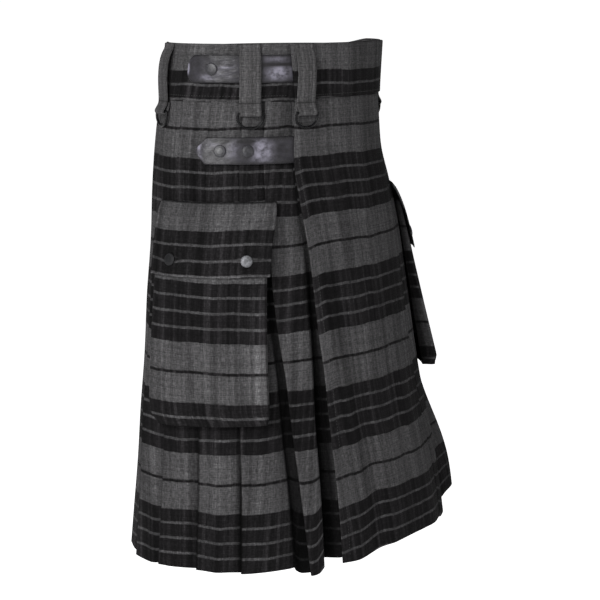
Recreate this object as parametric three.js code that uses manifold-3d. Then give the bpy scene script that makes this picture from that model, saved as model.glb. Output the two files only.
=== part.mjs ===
// Utility kilt, worn shape, standing open around an empty waist.
// Millimetres. +Z is up, -Y is the front, +X is the wearer's left.
// The origin is the centre of the waist, at half the height of the waistband.
import * as THREE from "three";
import { mergeVertices } from "three/addons/utils/BufferGeometryUtils.js";
import Module from "manifold-3d";

const wasm = await Module();
wasm.setup();

// Driving sizes
const kiltDrop = 610;
const waistbandHeight = 65;
const seamGap = 0.3;
const skirtTop = waistbandHeight + seamGap;
const clothWall = 1.2;
const apronWall = 1.6;
const bandWall = 3;
const pocketWall = 1.6;
const flapWall = 2;
const strapWall = 2.2;
const liftStart = 0.52;
const liftRun = 0.34;
const pleatsPerSide = 10;
const pleatDepthShare = 0.6;
const turn = Math.PI / 180;

// The body's outer surface, one oval for each height. Drop is measured down from the rim.
const sections = [
  { name: "rim", drop: 0, halfWidth: 162.5, halfDepth: 113, back: 1 },
  { name: "waist seam", drop: 65, halfWidth: 165, halfDepth: 116, back: 8 },
  { name: "yoke", drop: 100, halfWidth: 169, halfDepth: 119, back: 10 },
  { name: "hip", drop: 137, halfWidth: 175, halfDepth: 120.5, back: 10 },
  { name: "pocket top", drop: 177, halfWidth: 185, halfDepth: 123.5, back: 5 },
  { name: "seat", drop: 236, halfWidth: 197, halfDepth: 127, back: -2 },
  { name: "thigh", drop: 300, halfWidth: 206.5, halfDepth: 133, back: -5 },
  { name: "mid thigh", drop: 373, halfWidth: 216.5, halfDepth: 139.5, back: -9 },
  { name: "pocket foot", drop: 440, halfWidth: 229, halfDepth: 146, back: -13 },
  { name: "above knee", drop: 507, halfWidth: 241.5, halfDepth: 153, back: -20 },
  { name: "knee", drop: 560, halfWidth: 250.5, halfDepth: 158.5, back: -24 },
  { name: "hem", drop: 610, halfWidth: 257.5, halfDepth: 163, back: -26.5 },
];

// The opening beside the apron, on one side of the body. Angles are degrees from the centre front.
// apron: its edge. valley: the hollow beside it. ridge: the first pleat's near edge.
// valleyIn, ridgeIn: how deep they lie under the body's surface.
const openingFolds = [
  { drop: 65, apron: 32.4, valley: 30.9, valleyIn: 5.2, ridge: 33.9, ridgeIn: 4.2 },
  { drop: 150, apron: 32.1, valley: 29.6, valleyIn: 5.8, ridge: 33.6, ridgeIn: 4.4 },
  { drop: 200, apron: 30.4, valley: 27.9, valleyIn: 7, ridge: 32.4, ridgeIn: 4 },
  { drop: 257, apron: 28.4, valley: 26.1, valleyIn: 10, ridge: 30.3, ridgeIn: 3.4 },
  { drop: 337, apron: 27.2, valley: 25.4, valleyIn: 15, ridge: 29.5, ridgeIn: 2 },
  { drop: 400, apron: 25.8, valley: 25.2, valleyIn: 19, ridge: 29.4, ridgeIn: 1.4 },
  { drop: 507, apron: 25.5, valley: 26.2, valleyIn: 23, ridge: 30, ridgeIn: 1.1 },
  { drop: 610, apron: 25.7, valley: 27, valleyIn: 26, ridge: 30.4, ridgeIn: 0.9 },
];

// The rest of the first pleat. fold: its far edge. tuck: how far it runs back under itself.
// gap, next: the hollow after it and the start of the next face, with their depths.
const firstPleat = [
  { drop: 65, fold: 46, tuck: 5, gap: 48, gapIn: 5.2, next: 50, nextIn: 4.9 },
  { drop: 150, fold: 45.4, tuck: 5, gap: 47.3, gapIn: 5.6, next: 49.5, nextIn: 5 },
  { drop: 200, fold: 45.2, tuck: 5, gap: 47.2, gapIn: 6.2, next: 49.5, nextIn: 5 },
  { drop: 257, fold: 44.2, tuck: 4.5, gap: 46, gapIn: 8, next: 48.2, nextIn: 5 },
  { drop: 337, fold: 42, tuck: 4, gap: 43.6, gapIn: 11.5, next: 45.6, nextIn: 5 },
  { drop: 400, fold: 39.3, tuck: 3.2, gap: 41.2, gapIn: 14, next: 43, nextIn: 5.4 },
  { drop: 507, fold: 37, tuck: 2.8, gap: 39.2, gapIn: 17.5, next: 41.4, nextIn: 6 },
  { drop: 610, fold: 34.6, tuck: 2.2, gap: 37.4, gapIn: 20, next: 40.4, nextIn: 6.5 },
];

// The second pleat is narrower than the rest. Degrees.
const secondPleat = { pitch: 16, depth: 5.5 };

// How the pleats open towards the hem. layer: the step between the layers of a pleat.
const pleatOpening = [
  { drop: 65, layer: 2, secondFold: 57 },
  { drop: 180, layer: 2.1, secondFold: 57.2 },
  { drop: 300, layer: 2.5, secondFold: 57.6 },
  { drop: 440, layer: 3, secondFold: 58 },
  { drop: 610, layer: 3.6, secondFold: 58.6 },
];

// How the apron stands. out: its middle layer. lift: how far its free edge stands off.
// wave: the depth of its soft upright waves.
const apronStand = [
  { drop: 0, out: 1.7, lift: 3.2, wave: 0 },
  { drop: 150, out: 1.7, lift: 3.4, wave: 0 },
  { drop: 257, out: 1.9, lift: 4, wave: 0.6 },
  { drop: 400, out: 2.3, lift: 5, wave: 1.6 },
  { drop: 610, out: 2.8, lift: 6, wave: 3 },
];

// The under-apron. freeEdge: where it ends under the over-apron. inset: its depth under the body.
const underApronForm = [
  { drop: 0, freeEdge: 22, inset: 4.4 },
  { drop: 610, freeEdge: 14, inset: 10.9 },
];

// The cargo pocket's front panel. front, back: its side edges. stand: its outer face off the body.
const pocketForm = [
  { drop: 204, front: 46.6, back: 103.2, stand: 7 },
  { drop: 262, front: 47.3, back: 101.2, stand: 11 },
  { drop: 320, front: 48.2, back: 99.6, stand: 15 },
  { drop: 376, front: 49.2, back: 98, stand: 19 },
  { drop: 420, front: 50, back: 95.4, stand: 22 },
  { drop: 437, front: 51.4, back: 91.2, stand: 22.5 },
];

// The pocket flap, sewn down along its top edge and snapped shut over the pocket.
const flapForm = [
  { drop: 183, front: 40.9, back: 106, stand: 2.8 },
  { drop: 193, front: 41.7, back: 105.6, stand: 7.6 },
  { drop: 212, front: 43.3, back: 104.8, stand: 11.6 },
  { drop: 236, front: 45.3, back: 103.4, stand: 14 },
  { drop: 268, front: 46.6, back: 101.8, stand: 16.6 },
];

// Reads a table at any drop, with a smooth curve through its rows.
function readTable(table, drop, key) {
  const last = table.length - 1;
  let row = 0;
  while (row < last - 1 && drop > table[row + 1].drop) row += 1;
  const slopeAt = (index) => {
    const low = table[Math.max(index - 1, 0)];
    const high = table[Math.min(index + 1, last)];
    return (high[key] - low[key]) / (high.drop - low.drop);
  };
  const start = table[row];
  const end = table[row + 1];
  const span = end.drop - start.drop;
  const t = (drop - start.drop) / span;
  const inside = Math.min(Math.max(t, 0), 1);
  const t2 = inside * inside;
  const t3 = t2 * inside;
  return (
    start[key] * (2 * t3 - 3 * t2 + 1) +
    slopeAt(row) * span * (t3 - 2 * t2 + inside) +
    end[key] * (3 * t2 - 2 * t3) +
    slopeAt(row + 1) * span * (t3 - t2)
  );
}

// A point on the body: angle in degrees from the centre front, positive to the wearer's left,
// drop below the rim, and distance out from the surface.
function bodyPoint(angle, drop, out = 0) {
  const a = readTable(sections, drop, "halfWidth");
  const b = readTable(sections, drop, "halfDepth");
  const s = Math.sin(angle * turn);
  const c = Math.cos(angle * turn);
  const normal = new THREE.Vector2(s / a, -c / b).normalize();
  const y = -b * c + readTable(sections, drop, "back");
  return new THREE.Vector3(a * s + normal.x * out, y + normal.y * out, waistbandHeight / 2 - drop);
}

// Millimetres of the body's surface for each degree.
function arcPerDegree(angle, drop) {
  const a = readTable(sections, drop, "halfWidth");
  const b = readTable(sections, drop, "halfDepth");
  return Math.hypot(a * Math.cos(angle * turn), b * Math.sin(angle * turn)) * turn;
}

function smoothStep(value) {
  const t = Math.min(Math.max(value, 0), 1);
  return t * t * (3 - 2 * t);
}

// A closed solid from triangles, turned so that its faces point outwards.
function solidFrom(vertices, triangles) {
  let volume = 0;
  for (const [i, j, k] of triangles) {
    volume += vertices[i].dot(vertices[j].clone().cross(vertices[k])) / 6;
  }
  const positions = vertices.flatMap((point) => [point.x, point.y, point.z]);
  const indices = triangles.flatMap(([i, j, k]) => (volume > 0 ? [i, j, k] : [i, k, j]));
  const geometry = new THREE.BufferGeometry();
  geometry.setAttribute("position", new THREE.Float32BufferAttribute(positions, 3));
  geometry.setIndex(indices);
  return geometry;
}

// A wall with an outer and an inner skin. rows[i][j] holds { outer, inner }.
function wallSolid(rows) {
  const across = rows[0].length;
  const vertices = [];
  for (const row of rows) {
    for (const pair of row) vertices.push(pair.outer, pair.inner);
  }
  const outer = (i, j) => 2 * (i * across + j);
  const inner = (i, j) => outer(i, j) + 1;
  const triangles = [];
  const face = (p, q, r, s) => triangles.push([p, q, r], [p, r, s]);
  const lastRow = rows.length - 1;
  const lastColumn = across - 1;
  for (let i = 0; i < lastRow; i += 1) {
    for (let j = 0; j < lastColumn; j += 1) {
      face(outer(i, j), outer(i + 1, j), outer(i + 1, j + 1), outer(i, j + 1));
      face(inner(i, j), inner(i, j + 1), inner(i + 1, j + 1), inner(i + 1, j));
    }
    face(inner(i, 0), inner(i + 1, 0), outer(i + 1, 0), outer(i, 0));
    face(outer(i, lastColumn), outer(i + 1, lastColumn), inner(i + 1, lastColumn), inner(i, lastColumn));
  }
  for (let j = 0; j < lastColumn; j += 1) {
    face(outer(0, j), outer(0, j + 1), inner(0, j + 1), inner(0, j));
    face(inner(lastRow, j), inner(lastRow, j + 1), outer(lastRow, j + 1), outer(lastRow, j));
  }
  return solidFrom(vertices, triangles);
}

// The two skins of a cloth run, half a wall to each side of its middle line, with mitred corners.
// A mitre that would reach further out than this share allows is cut short.
const shortestMitreShare = 0.6;
function skinsOf(run, wall) {
  const points = run.map((point) => new THREE.Vector2(point.x, point.y));
  return points.map((point, index) => {
    const next = points[Math.min(index + 1, points.length - 1)];
    const last = points[Math.max(index - 1, 0)];
    const ahead = next.clone().sub(point);
    const behind = point.clone().sub(last);
    if (index === 0) behind.copy(ahead);
    if (index === points.length - 1) ahead.copy(behind);
    ahead.normalize();
    behind.normalize();
    const across = new THREE.Vector2(ahead.y + behind.y, -ahead.x - behind.x).normalize();
    const lean = Math.max(across.x * ahead.y - across.y * ahead.x, shortestMitreShare);
    const shift = across.multiplyScalar(wall / 2 / lean);
    const z = run[index].z;
    return {
      outer: new THREE.Vector3(point.x + shift.x, point.y + shift.y, z),
      inner: new THREE.Vector3(point.x - shift.x, point.y - shift.y, z),
    };
  });
}

// A cloth wall through levels. path(drop) lists { angle, out } along the cloth at that level.
function clothWallSolid(drops, path, wall) {
  const rows = drops.map((drop) => {
    const run = path(drop).map((stop) => bodyPoint(stop.angle, drop, stop.out));
    return skinsOf(run, wall);
  });
  return wallSolid(rows);
}

// A layer of even thickness lying on the body. edges(drop) gives its two side angles.
function layerSolid(drops, edges, columns, outAt, wall) {
  const rows = drops.map((drop) => {
    const { from, to } = edges(drop);
    const row = [];
    for (let j = 0; j <= columns; j += 1) {
      const angle = from + ((to - from) * j) / columns;
      const out = outAt(angle, drop);
      row.push({ outer: bodyPoint(angle, drop, out), inner: bodyPoint(angle, drop, out - wall) });
    }
    return row;
  });
  return wallSolid(rows);
}

// Joins two closed solids that overlap.
const mergeDistance = 1e-4;
function joined(first, second) {
  const toManifold = (geometry) => {
    const bare = new THREE.BufferGeometry();
    bare.setAttribute("position", geometry.getAttribute("position"));
    bare.setIndex(geometry.getIndex());
    const merged = mergeVertices(bare, mergeDistance);
    const mesh = new wasm.Mesh({
      numProp: 3,
      vertProperties: new Float32Array(merged.getAttribute("position").array),
      triVerts: new Uint32Array(merged.getIndex().array),
    });
    return new wasm.Manifold(mesh);
  };
  const result = toManifold(first).add(toManifold(second)).getMesh();
  const geometry = new THREE.BufferGeometry();
  geometry.setAttribute("position", new THREE.Float32BufferAttribute(result.vertProperties, 3));
  geometry.setIndex([...result.triVerts]);
  return geometry;
}

// Materials
const clothColour = 0x3c3c3e;
const cloth = new THREE.MeshStandardMaterial({ color: clothColour, roughness: 0.95, metalness: 0 });
const leather = new THREE.MeshStandardMaterial({ color: 0x17171c, roughness: 0.38, metalness: 0 });
const blackMetal = new THREE.MeshStandardMaterial({ color: 0x1a1a1d, roughness: 0.35, metalness: 0.8 });
const snapMetal = new THREE.MeshStandardMaterial({ color: 0x55555a, roughness: 0.35, metalness: 0.9 });

const kilt = new THREE.Group();
function addPiece(name, geometry, material, parent = kilt) {
  const mesh = new THREE.Mesh(geometry, material);
  mesh.name = name;
  parent.add(mesh);
  return mesh;
}

// Angles of the pleats' fold edges on one side, from the second pleat to the centre back.
// They are spaced evenly along the hem.
const arcStep = 0.25;
const centreBack = 180;
const backStop = 179.5;
const roundingRoom = 1e-9;
const laterFolds = (() => {
  const first = readTable(pleatOpening, kiltDrop, "secondFold");
  const marks = [{ angle: first, length: 0 }];
  for (let angle = first; angle < backStop; angle += arcStep) {
    const length = marks[marks.length - 1].length + arcPerDegree(angle, kiltDrop) * arcStep;
    marks.push({ angle: angle + arcStep, length });
  }
  const whole = marks[marks.length - 1].length;
  const count = pleatsPerSide - 2;
  return Array.from({ length: count + 1 }, (_, index) => {
    const wanted = (whole * index) / count;
    return marks.find((mark) => mark.length >= wanted - roundingRoom).angle;
  });
})();

// The fold edge of pleat number 2 to 10 at a level. The second swings a little with height,
// and the swing dies away over the pleats after it.
const pleatsThatSwing = 3;
function foldAngle(number, drop) {
  const swing = readTable(pleatOpening, drop, "secondFold") - laterFolds[0];
  const share = Math.max(1 - (number - 2) / pleatsThatSwing, 0);
  return Math.min(laterFolds[number - 2] + swing * share, backStop);
}

// One pleat's layers at its fold edge: out along the face, round the fold, back under the face,
// round the tuck and out again as the next pleat's face.
function pleatLayers(fold, reach, layer, wall) {
  const skin = wall / 2;
  const slope = (2 * layer) / reach.pitch;
  const rest = (behind, depth) => -skin - slope * behind - depth;
  const half = reach.depth / 2;
  return [
    { angle: fold - reach.depth, out: rest(reach.depth, 0) },
    { angle: fold - half, out: rest(half, 0) },
    { angle: fold, out: rest(0, 0) },
    { angle: fold, out: rest(0, layer) },
    { angle: fold - half, out: rest(half, layer) },
    { angle: fold - reach.depth, out: rest(reach.depth, layer) },
    { angle: fold - reach.depth, out: rest(reach.depth, 2 * layer) },
    { angle: fold - half, out: rest(half, 2 * layer) },
  ];
}

// Where an apron's cloth is joined to a side's pleats: part way up the far side of the hollow.
const openingSeamShare = 0.35;
function openingSeam(drop) {
  const read = (key) => readTable(openingFolds, drop, key);
  return {
    angle: read("valley") + (read("ridge") - read("valley")) * openingSeamShare,
    out: -read("valleyIn") + (read("valleyIn") - read("ridgeIn")) * openingSeamShare,
  };
}

// The whole folded path of one side's skirt, front to back, as positive angles.
// tuckStand: the tuck's depth in layers. tuckSink: how much deeper the tuck lies than its fold.
const tuckStand = 0.6;
const tuckSink = 0.8;
function sidePath(drop) {
  const opening = (key) => readTable(openingFolds, drop, key);
  const pleat = (key) => readTable(firstPleat, drop, key);
  const layer = readTable(pleatOpening, drop, "layer");
  const skin = clothWall / 2;
  const ridge = opening("ridge");
  const ridgeIn = opening("ridgeIn");
  const fold = pleat("fold");
  const tuck = pleat("tuck");
  const next = pleat("next");
  const tuckIn = skin + layer * tuckStand + tuckSink;
  const path = [
    openingSeam(drop),
    { angle: ridge, out: -ridgeIn },
    { angle: (ridge + fold) / 2, out: -(ridgeIn + skin) / 2 },
    { angle: fold, out: -skin },
    { angle: fold, out: -skin - layer },
    { angle: fold - tuck, out: -tuckIn - layer },
    { angle: fold - tuck, out: -tuckIn - 2 * layer },
    { angle: pleat("gap"), out: -pleat("gapIn") },
    { angle: next, out: -pleat("nextIn") },
  ];
  for (let number = 2; number <= pleatsPerSide; number += 1) {
    const at = foldAngle(number, drop);
    const pitch = number === 2 ? secondPleat.pitch : at - foldAngle(number - 1, drop);
    const depth = number === 2 ? secondPleat.depth : pitch * pleatDepthShare;
    const layers = pleatLayers(at, { pitch, depth }, layer, clothWall);
    if (number === 2) layers[0].angle = (next + at) / 2;
    path.push(...layers);
    const onward = number < pleatsPerSide ? at : centreBack;
    path.push({ angle: onward, out: -skin - 2 * layer });
  }
  return path;
}

// Where the long pleated run is cut into pieces, as stops of the path. The cut lies in a tuck.
const stopsInOpening = 9;
const stopsPerPleat = 9;
const sideCut = stopsInOpening + 4 * stopsPerPleat - 2;

// Leaves half a seam's gap at one end of a run.
function trimmed(run, drop, atStart) {
  const copy = run.map((stop) => ({ ...stop }));
  const end = atStart ? copy[0] : copy[copy.length - 1];
  const near = atStart ? copy[1] : copy[copy.length - 2];
  const wide = Math.abs(end.angle - near.angle) * arcPerDegree(end.angle, drop);
  const length = Math.hypot(wide, end.out - near.out);
  const share = seamGap / 2 / length;
  end.angle += (near.angle - end.angle) * share;
  end.out += (near.out - end.out) * share;
  return copy;
}

const skirtDrops = [skirtTop, 105, 145, 190, 240, 310, 400, 500, kiltDrop];

function addSkirtSide(sideName, side) {
  const turned = (run) => run.map((stop) => ({ angle: stop.angle * side, out: stop.out }));
  const frontRun = (drop) => {
    const run = sidePath(drop).slice(0, sideCut + 1);
    return turned(trimmed(trimmed(run, drop, true), drop, false));
  };
  const backRun = (drop) => {
    const run = sidePath(drop).slice(sideCut);
    return turned(trimmed(trimmed(run, drop, true), drop, false));
  };
  const front = clothWallSolid(skirtDrops, frontRun, clothWall);
  const back = clothWallSolid(skirtDrops, backRun, clothWall);
  addPiece(`skirt_pleats_${sideName}_front`, front, cloth);
  addPiece(`skirt_pleats_${sideName}_back`, back, cloth);
}

// The free edge's lift, at a share of the apron's half width from -1 (free edge) to 1 (fold edge).
function edgeLift(share, drop) {
  return readTable(apronStand, drop, "lift") * smoothStep((-share - liftStart) / liftRun);
}

// The apron's middle layer, out from the body. Its waves die away towards both edges.
const waveFade = 0.25;
const waveLength = 8.2;
const waveStart = 0.6;
function apronOut(share, drop) {
  const fade = smoothStep((1 - Math.abs(share)) / waveFade);
  const swell = 0.5 + 0.5 * Math.cos(share * waveLength + waveStart);
  const wave = readTable(apronStand, drop, "wave") * swell * fade;
  return readTable(apronStand, drop, "out") + edgeLift(share, drop) + wave;
}

// Columns across the apron, closer together where its free edge lifts.
const liftShares = [-1, -0.94, -0.86, -0.76, -0.62];
const flatShares = [-0.46, -0.3, -0.14, 0.02, 0.18, 0.34, 0.5, 0.66, 0.82, 1];
const apronShares = [...liftShares, ...flatShares];

// The over-apron: free edge on the wearer's right, a fold on the left that turns back under
// and runs on into the pleats.
const apronFoldGap = 0.6;
const apronTurnBack = 5;
const turnBackSink = 0.4;
function overApronPath(drop) {
  const edge = readTable(openingFolds, drop, "apron");
  const valley = readTable(openingFolds, drop, "valley");
  const valleyIn = readTable(openingFolds, drop, "valleyIn");
  const path = apronShares.map((share) => ({ angle: share * edge, out: apronOut(share, drop) }));
  const layer = apronWall + apronFoldGap;
  const edgeOut = apronOut(1, drop);
  const turnBack = edge - apronTurnBack;
  path.push(
    { angle: edge, out: edgeOut - layer },
    { angle: turnBack, out: edgeOut - layer - turnBackSink },
    { angle: turnBack, out: edgeOut - 2 * layer - turnBackSink },
    { angle: valley, out: -valleyIn },
    openingSeam(drop),
  );
  return trimmed(path, drop, false);
}

// The under-apron: plain cloth behind the over-apron, joined to the right side's pleats.
const underApronStep = 4;
function underApronPath(drop) {
  const valley = readTable(openingFolds, drop, "valley");
  const depth = readTable(openingFolds, drop, "valleyIn");
  const freeEdge = readTable(underApronForm, drop, "freeEdge");
  const inset = readTable(underApronForm, drop, "inset");
  const seam = openingSeam(drop);
  const path = [{ angle: -seam.angle, out: seam.out }, { angle: -valley, out: -depth }];
  const columns = 8;
  const start = -valley + underApronStep;
  for (let j = 0; j <= columns; j += 1) {
    path.push({ angle: start + ((freeEdge - start) * j) / columns, out: -inset });
  }
  return trimmed(path, drop, true);
}

// Waistband. The over part lies on the apron and outside the rest, which wraps round the body
// and runs on under the apron.
const bandClear = 0.1;
const innerBandOut = -0.2;
const overBand = { from: -36.8, fromAtSeam: -32.4, to: 37.5, columns: 16 };
const wrapBand = { from: 31, to: 331.2, columns: 40 };
const underBand = { from: -28.7, to: 22, columns: 10 };
function overBandEdges(drop) {
  const lean = (overBand.fromAtSeam - overBand.from) / waistbandHeight;
  return { from: overBand.from + lean * drop, to: overBand.to };
}
function overBandOut(angle, drop) {
  return bandClear + bandWall + edgeLift(-angle / overBandEdges(drop).from, drop);
}
function bandSolid(band, outAt, edges = () => band) {
  const drops = [0, waistbandHeight / 2, waistbandHeight];
  return layerSolid(drops, edges, band.columns, outAt, bandWall);
}
function addWaistband() {
  addPiece("waistband_over_apron", bandSolid(overBand, overBandOut, overBandEdges), cloth);
  addPiece("waistband_wrap", bandSolid(wrapBand, () => innerBandOut), cloth);
  addPiece("waistband_under_apron", bandSolid(underBand, () => innerBandOut), cloth);
}

// Cargo pockets: a front panel with bellows sides and floor, open at the top under the flap.
const pocketSeat = 1;
const pocketColumns = 9;
const floorInset = 0.3;
function addPocket(sideName, side) {
  const columns = pocketColumns;
  const level = (drop) => {
    const front = readTable(pocketForm, drop, "front");
    const back = readTable(pocketForm, drop, "back");
    const out = readTable(pocketForm, drop, "stand") - pocketWall / 2;
    const path = [{ angle: front * side, out: pocketSeat }];
    for (let j = 0; j <= columns; j += 1) {
      const share = j / columns;
      path.push({ angle: (front + (back - front) * share) * side, out });
    }
    path.push({ angle: back * side, out: pocketSeat });
    return path;
  };
  const drops = pocketForm.map((row) => row.drop);
  const shell = clothWallSolid(drops, level, pocketWall);
  const foot = pocketForm[pocketForm.length - 1];
  const floorDrops = [foot.drop - pocketWall, foot.drop];
  const floorEdges = () => ({
    from: (foot.front + floorInset) * side,
    to: (foot.back - floorInset) * side,
  });
  const floorOut = foot.stand - pocketWall / 2;
  const floor = layerSolid(floorDrops, floorEdges, columns, () => floorOut, floorOut - pocketSeat);
  addPiece(`pocket_${sideName}`, joined(shell, floor), cloth);
  const flapEdges = (drop) => ({
    from: readTable(flapForm, drop, "front") * side,
    to: readTable(flapForm, drop, "back") * side,
  });
  const flapDrops = flapForm.map((row) => row.drop);
  const flapOut = (angle, drop) => readTable(flapForm, drop, "stand");
  const flap = layerSolid(flapDrops, flapEdges, columns, flapOut, flapWall);
  addPiece(`pocket_flap_${sideName}`, flap, cloth);
}

// Snap caps: low domes standing on a cloth or leather face.
const snapRadius = 7.2;
const snapProfile = [
  { name: "centre of the foot", inset: snapRadius, rise: 0 },
  { name: "foot", inset: 0.6, rise: 0 },
  { name: "rim foot", inset: 0, rise: 0.5 },
  { name: "rim", inset: 0, rise: 1.2 },
  { name: "shoulder", inset: 0.9, rise: 1.9 },
  { name: "dome", inset: snapRadius / 2, rise: 2.4 },
  { name: "top", inset: snapRadius, rise: 2.6 },
];
const snapSides = 14;
const snapSeat = 0.35;
function snapCap() {
  const profile = snapProfile.map((row) => new THREE.Vector2(snapRadius - row.inset, row.rise));
  return new THREE.LatheGeometry(profile, snapSides);
}

// The outward direction of a face that stands outAt(drop) off the body.
function faceNormal(angle, drop, outAt) {
  const step = 3;
  const upper = bodyPoint(angle, drop - step, outAt(drop - step));
  const lower = bodyPoint(angle, drop + step, outAt(drop + step));
  const before = bodyPoint(angle - 1, drop, outAt(drop));
  const after = bodyPoint(angle + 1, drop, outAt(drop));
  return after.sub(before).cross(upper.sub(lower)).normalize();
}
function addSnap(name, angle, drop, outAt, material) {
  const normal = faceNormal(angle, drop, outAt);
  const cap = addPiece(name, snapCap(), material);
  cap.quaternion.setFromUnitVectors(new THREE.Vector3(0, 1, 0), normal);
  cap.position.copy(bodyPoint(angle, drop, outAt(drop))).addScaledVector(normal, snapSeat);
}

// Leather straps on the wearer's right, lying on the waistband and on the pleats.
// tips: how far along the end each column stands, and the strap's width there.
const roundEnd = [0, 0.4, 0.72, 0.92, 1].map((t) => ({ t, width: Math.sqrt(1 - (0.94 * t) ** 2) }));
const pointedEnd = [0, 0.34, 0.67, 1].map((t) => ({ t, width: 1 - 0.84 * t }));
const strapUpper = {
  name: "strap_upper",
  middle: 29.3,
  halfHeight: 16.4,
  from: 31.6,
  to: 91.4,
  seat: 0.4,
  tips: roundEnd,
  tipLength: 11,
};
const strapLower = {
  name: "strap_lower",
  middle: 124.4,
  halfHeight: 16,
  from: 29.6,
  to: 80.7,
  seat: 1.3,
  tips: pointedEnd,
  tipLength: 12,
};
const strapStops = 10;
function addStrap(strap) {
  const wholeTurn = strap.to - strap.from;
  const tipTurn = strap.tipLength / arcPerDegree(strap.to, strap.middle);
  const tipShare = 1 - tipTurn / wholeTurn;
  const body = Array.from({ length: strapStops }, (_, k) => {
    return { share: (tipShare * k) / strapStops, width: 1 };
  });
  const tips = strap.tips.map(({ t, width }) => ({ share: tipShare + (1 - tipShare) * t, width }));
  const columns = [...body, ...tips];
  const row = (side) =>
    columns.map(({ share, width }) => {
      const angle = -(strap.from + wholeTurn * share);
      const drop = strap.middle + side * strap.halfHeight * width;
      const outer = bodyPoint(angle, drop, strap.seat + strapWall);
      return { outer, inner: bodyPoint(angle, drop, strap.seat) };
    });
  addPiece(strap.name, wallSolid([row(-1), row(0), row(1)]), leather);
}

// Belt loops, each with a black ring hung in its folded lower end.
const loopWidth = 26;
const loopWall = 2;
const ringWire = 2.6;
const ringInnerWidth = 27.4;
const ringHeight = 18.5;
const ringBarDrop = 80.6;
const ringBarOut = 5;
const ringFootOut = 1.9;
const eyeClearance = 0.9;
const eyeRadius = ringWire / 2 + eyeClearance + loopWall / 2;
const loopBow = [
  { drop: 0.6, out: 1.4 },
  { drop: 7, out: 1.5 },
  { drop: 12, out: 4.4 },
  { drop: 20, out: 6.8 },
  { drop: 32, out: 7.8 },
  { drop: 45, out: 7.3 },
  { drop: 57, out: 5.8 },
  { drop: 66, out: 4.6 },
  { drop: 72, out: 4.2 },
];
const loopPlaces = [
  { name: "right_front", angle: -27.7, seat: 6.5 },
  { name: "right_side", angle: -53.6, seat: 0 },
  { name: "right_back", angle: -110, seat: 0 },
  { name: "left_side", angle: 64, seat: 0 },
  { name: "left_back", angle: 110, seat: 0 },
];

// The strip's end, up behind the ring's bar.
const loopTail = [
  { drop: 76, out: 1.5 },
  { drop: 70, out: 1.3 },
];
const eyeStart = 40;
const eyeStep = -35;
const eyeStops = 8;

// The strip's middle line, out across and drop along: down the bow, round the bar and up behind.
function loopLine() {
  const eye = Array.from({ length: eyeStops }, (_, k) => {
    const a = (eyeStart + eyeStep * k) * turn;
    return { out: ringBarOut + eyeRadius * Math.cos(a), drop: ringBarDrop - eyeRadius * Math.sin(a) };
  });
  return [...loopBow, ...eye, ...loopTail];
}

function addLoopAndRing(place) {
  const { name, angle, seat } = place;
  const centre = bodyPoint(angle, ringBarDrop, 0);
  const before = bodyPoint(angle - 1, ringBarDrop, 0);
  const after = bodyPoint(angle + 1, ringBarDrop, 0);
  const along = after.clone().sub(before).setZ(0).normalize();
  const outward = new THREE.Vector3(along.y, -along.x, 0);
  const up = new THREE.Vector3(0, 0, 1);
  const flat = (out, drop) => {
    const point = bodyPoint(angle, drop, out + seat).sub(centre);
    return new THREE.Vector3(point.dot(outward), point.z, 0);
  };
  const line = loopLine().map((stop) => flat(stop.out, stop.drop));
  const skins = skinsOf(line, loopWall);
  const outline = [...skins.map((pair) => pair.outer), ...skins.map((pair) => pair.inner).reverse()];
  const shape = new THREE.Shape(outline.map((point) => new THREE.Vector2(point.x, point.y)));
  const strip = new THREE.ExtrudeGeometry(shape, { depth: loopWidth, bevelEnabled: false, steps: 1 });
  strip.translate(0, 0, -loopWidth / 2);
  const frame = new THREE.Group();
  const basis = new THREE.Matrix4().makeBasis(outward, up, outward.clone().cross(up));
  frame.position.copy(centre);
  frame.quaternion.setFromRotationMatrix(basis);
  kilt.add(frame);
  addPiece(`belt_loop_${name}`, strip, cloth, frame);

  const bar = flat(ringBarOut, ringBarDrop);
  const foot = flat(ringFootOut, ringBarDrop + ringHeight - ringWire);
  const lean = Math.atan2(foot.x - bar.x, bar.y - foot.y);
  const ring = addPiece(`ring_${name}`, ringGeometry(), blackMetal, frame);
  ring.position.copy(bar);
  ring.rotation.z = lean;
}

// A D-shaped ring: a straight bar along local Z at the origin and a bow hanging below it.
const ringShoulder = 5;
const ringStops = 9;
const ringChamfer = 0.6;
function ringGeometry() {
  const barHalf = ringWire / 2;
  const chamfer = ringChamfer;
  const bow = (grow) => {
    const wide = ringInnerWidth / 2 + grow;
    const top = -barHalf + grow;
    const shoulder = -barHalf - ringShoulder;
    const foot = barHalf - ringHeight + ringWire - grow;
    const points = [new THREE.Vector2(wide, top)];
    for (let k = 0; k <= ringStops; k += 1) {
      const a = (Math.PI * k) / ringStops;
      points.push(new THREE.Vector2(wide * Math.cos(a), shoulder - (shoulder - foot) * Math.sin(a)));
    }
    points.push(new THREE.Vector2(-wide, top));
    return points;
  };
  const shape = new THREE.Shape(bow(ringWire));
  shape.holes.push(new THREE.Path(bow(0).reverse()));
  const geometry = new THREE.ExtrudeGeometry(shape, {
    depth: ringWire - 2 * chamfer,
    bevelEnabled: true,
    bevelThickness: chamfer,
    bevelSize: chamfer,
    bevelOffset: -chamfer,
    bevelSegments: 1,
    steps: 1,
  });
  geometry.translate(0, 0, -(ringWire - 2 * chamfer) / 2);
  geometry.rotateY(Math.PI / 2);
  return geometry;
}

// Assembly
addWaistband();
addPiece("over_apron", clothWallSolid(skirtDrops, overApronPath, apronWall), cloth);
addPiece("under_apron", clothWallSolid(skirtDrops, underApronPath, clothWall), cloth);
addSkirtSide("right", -1);
addSkirtSide("left", 1);
addPocket("right", -1);
addPocket("left", 1);

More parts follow.
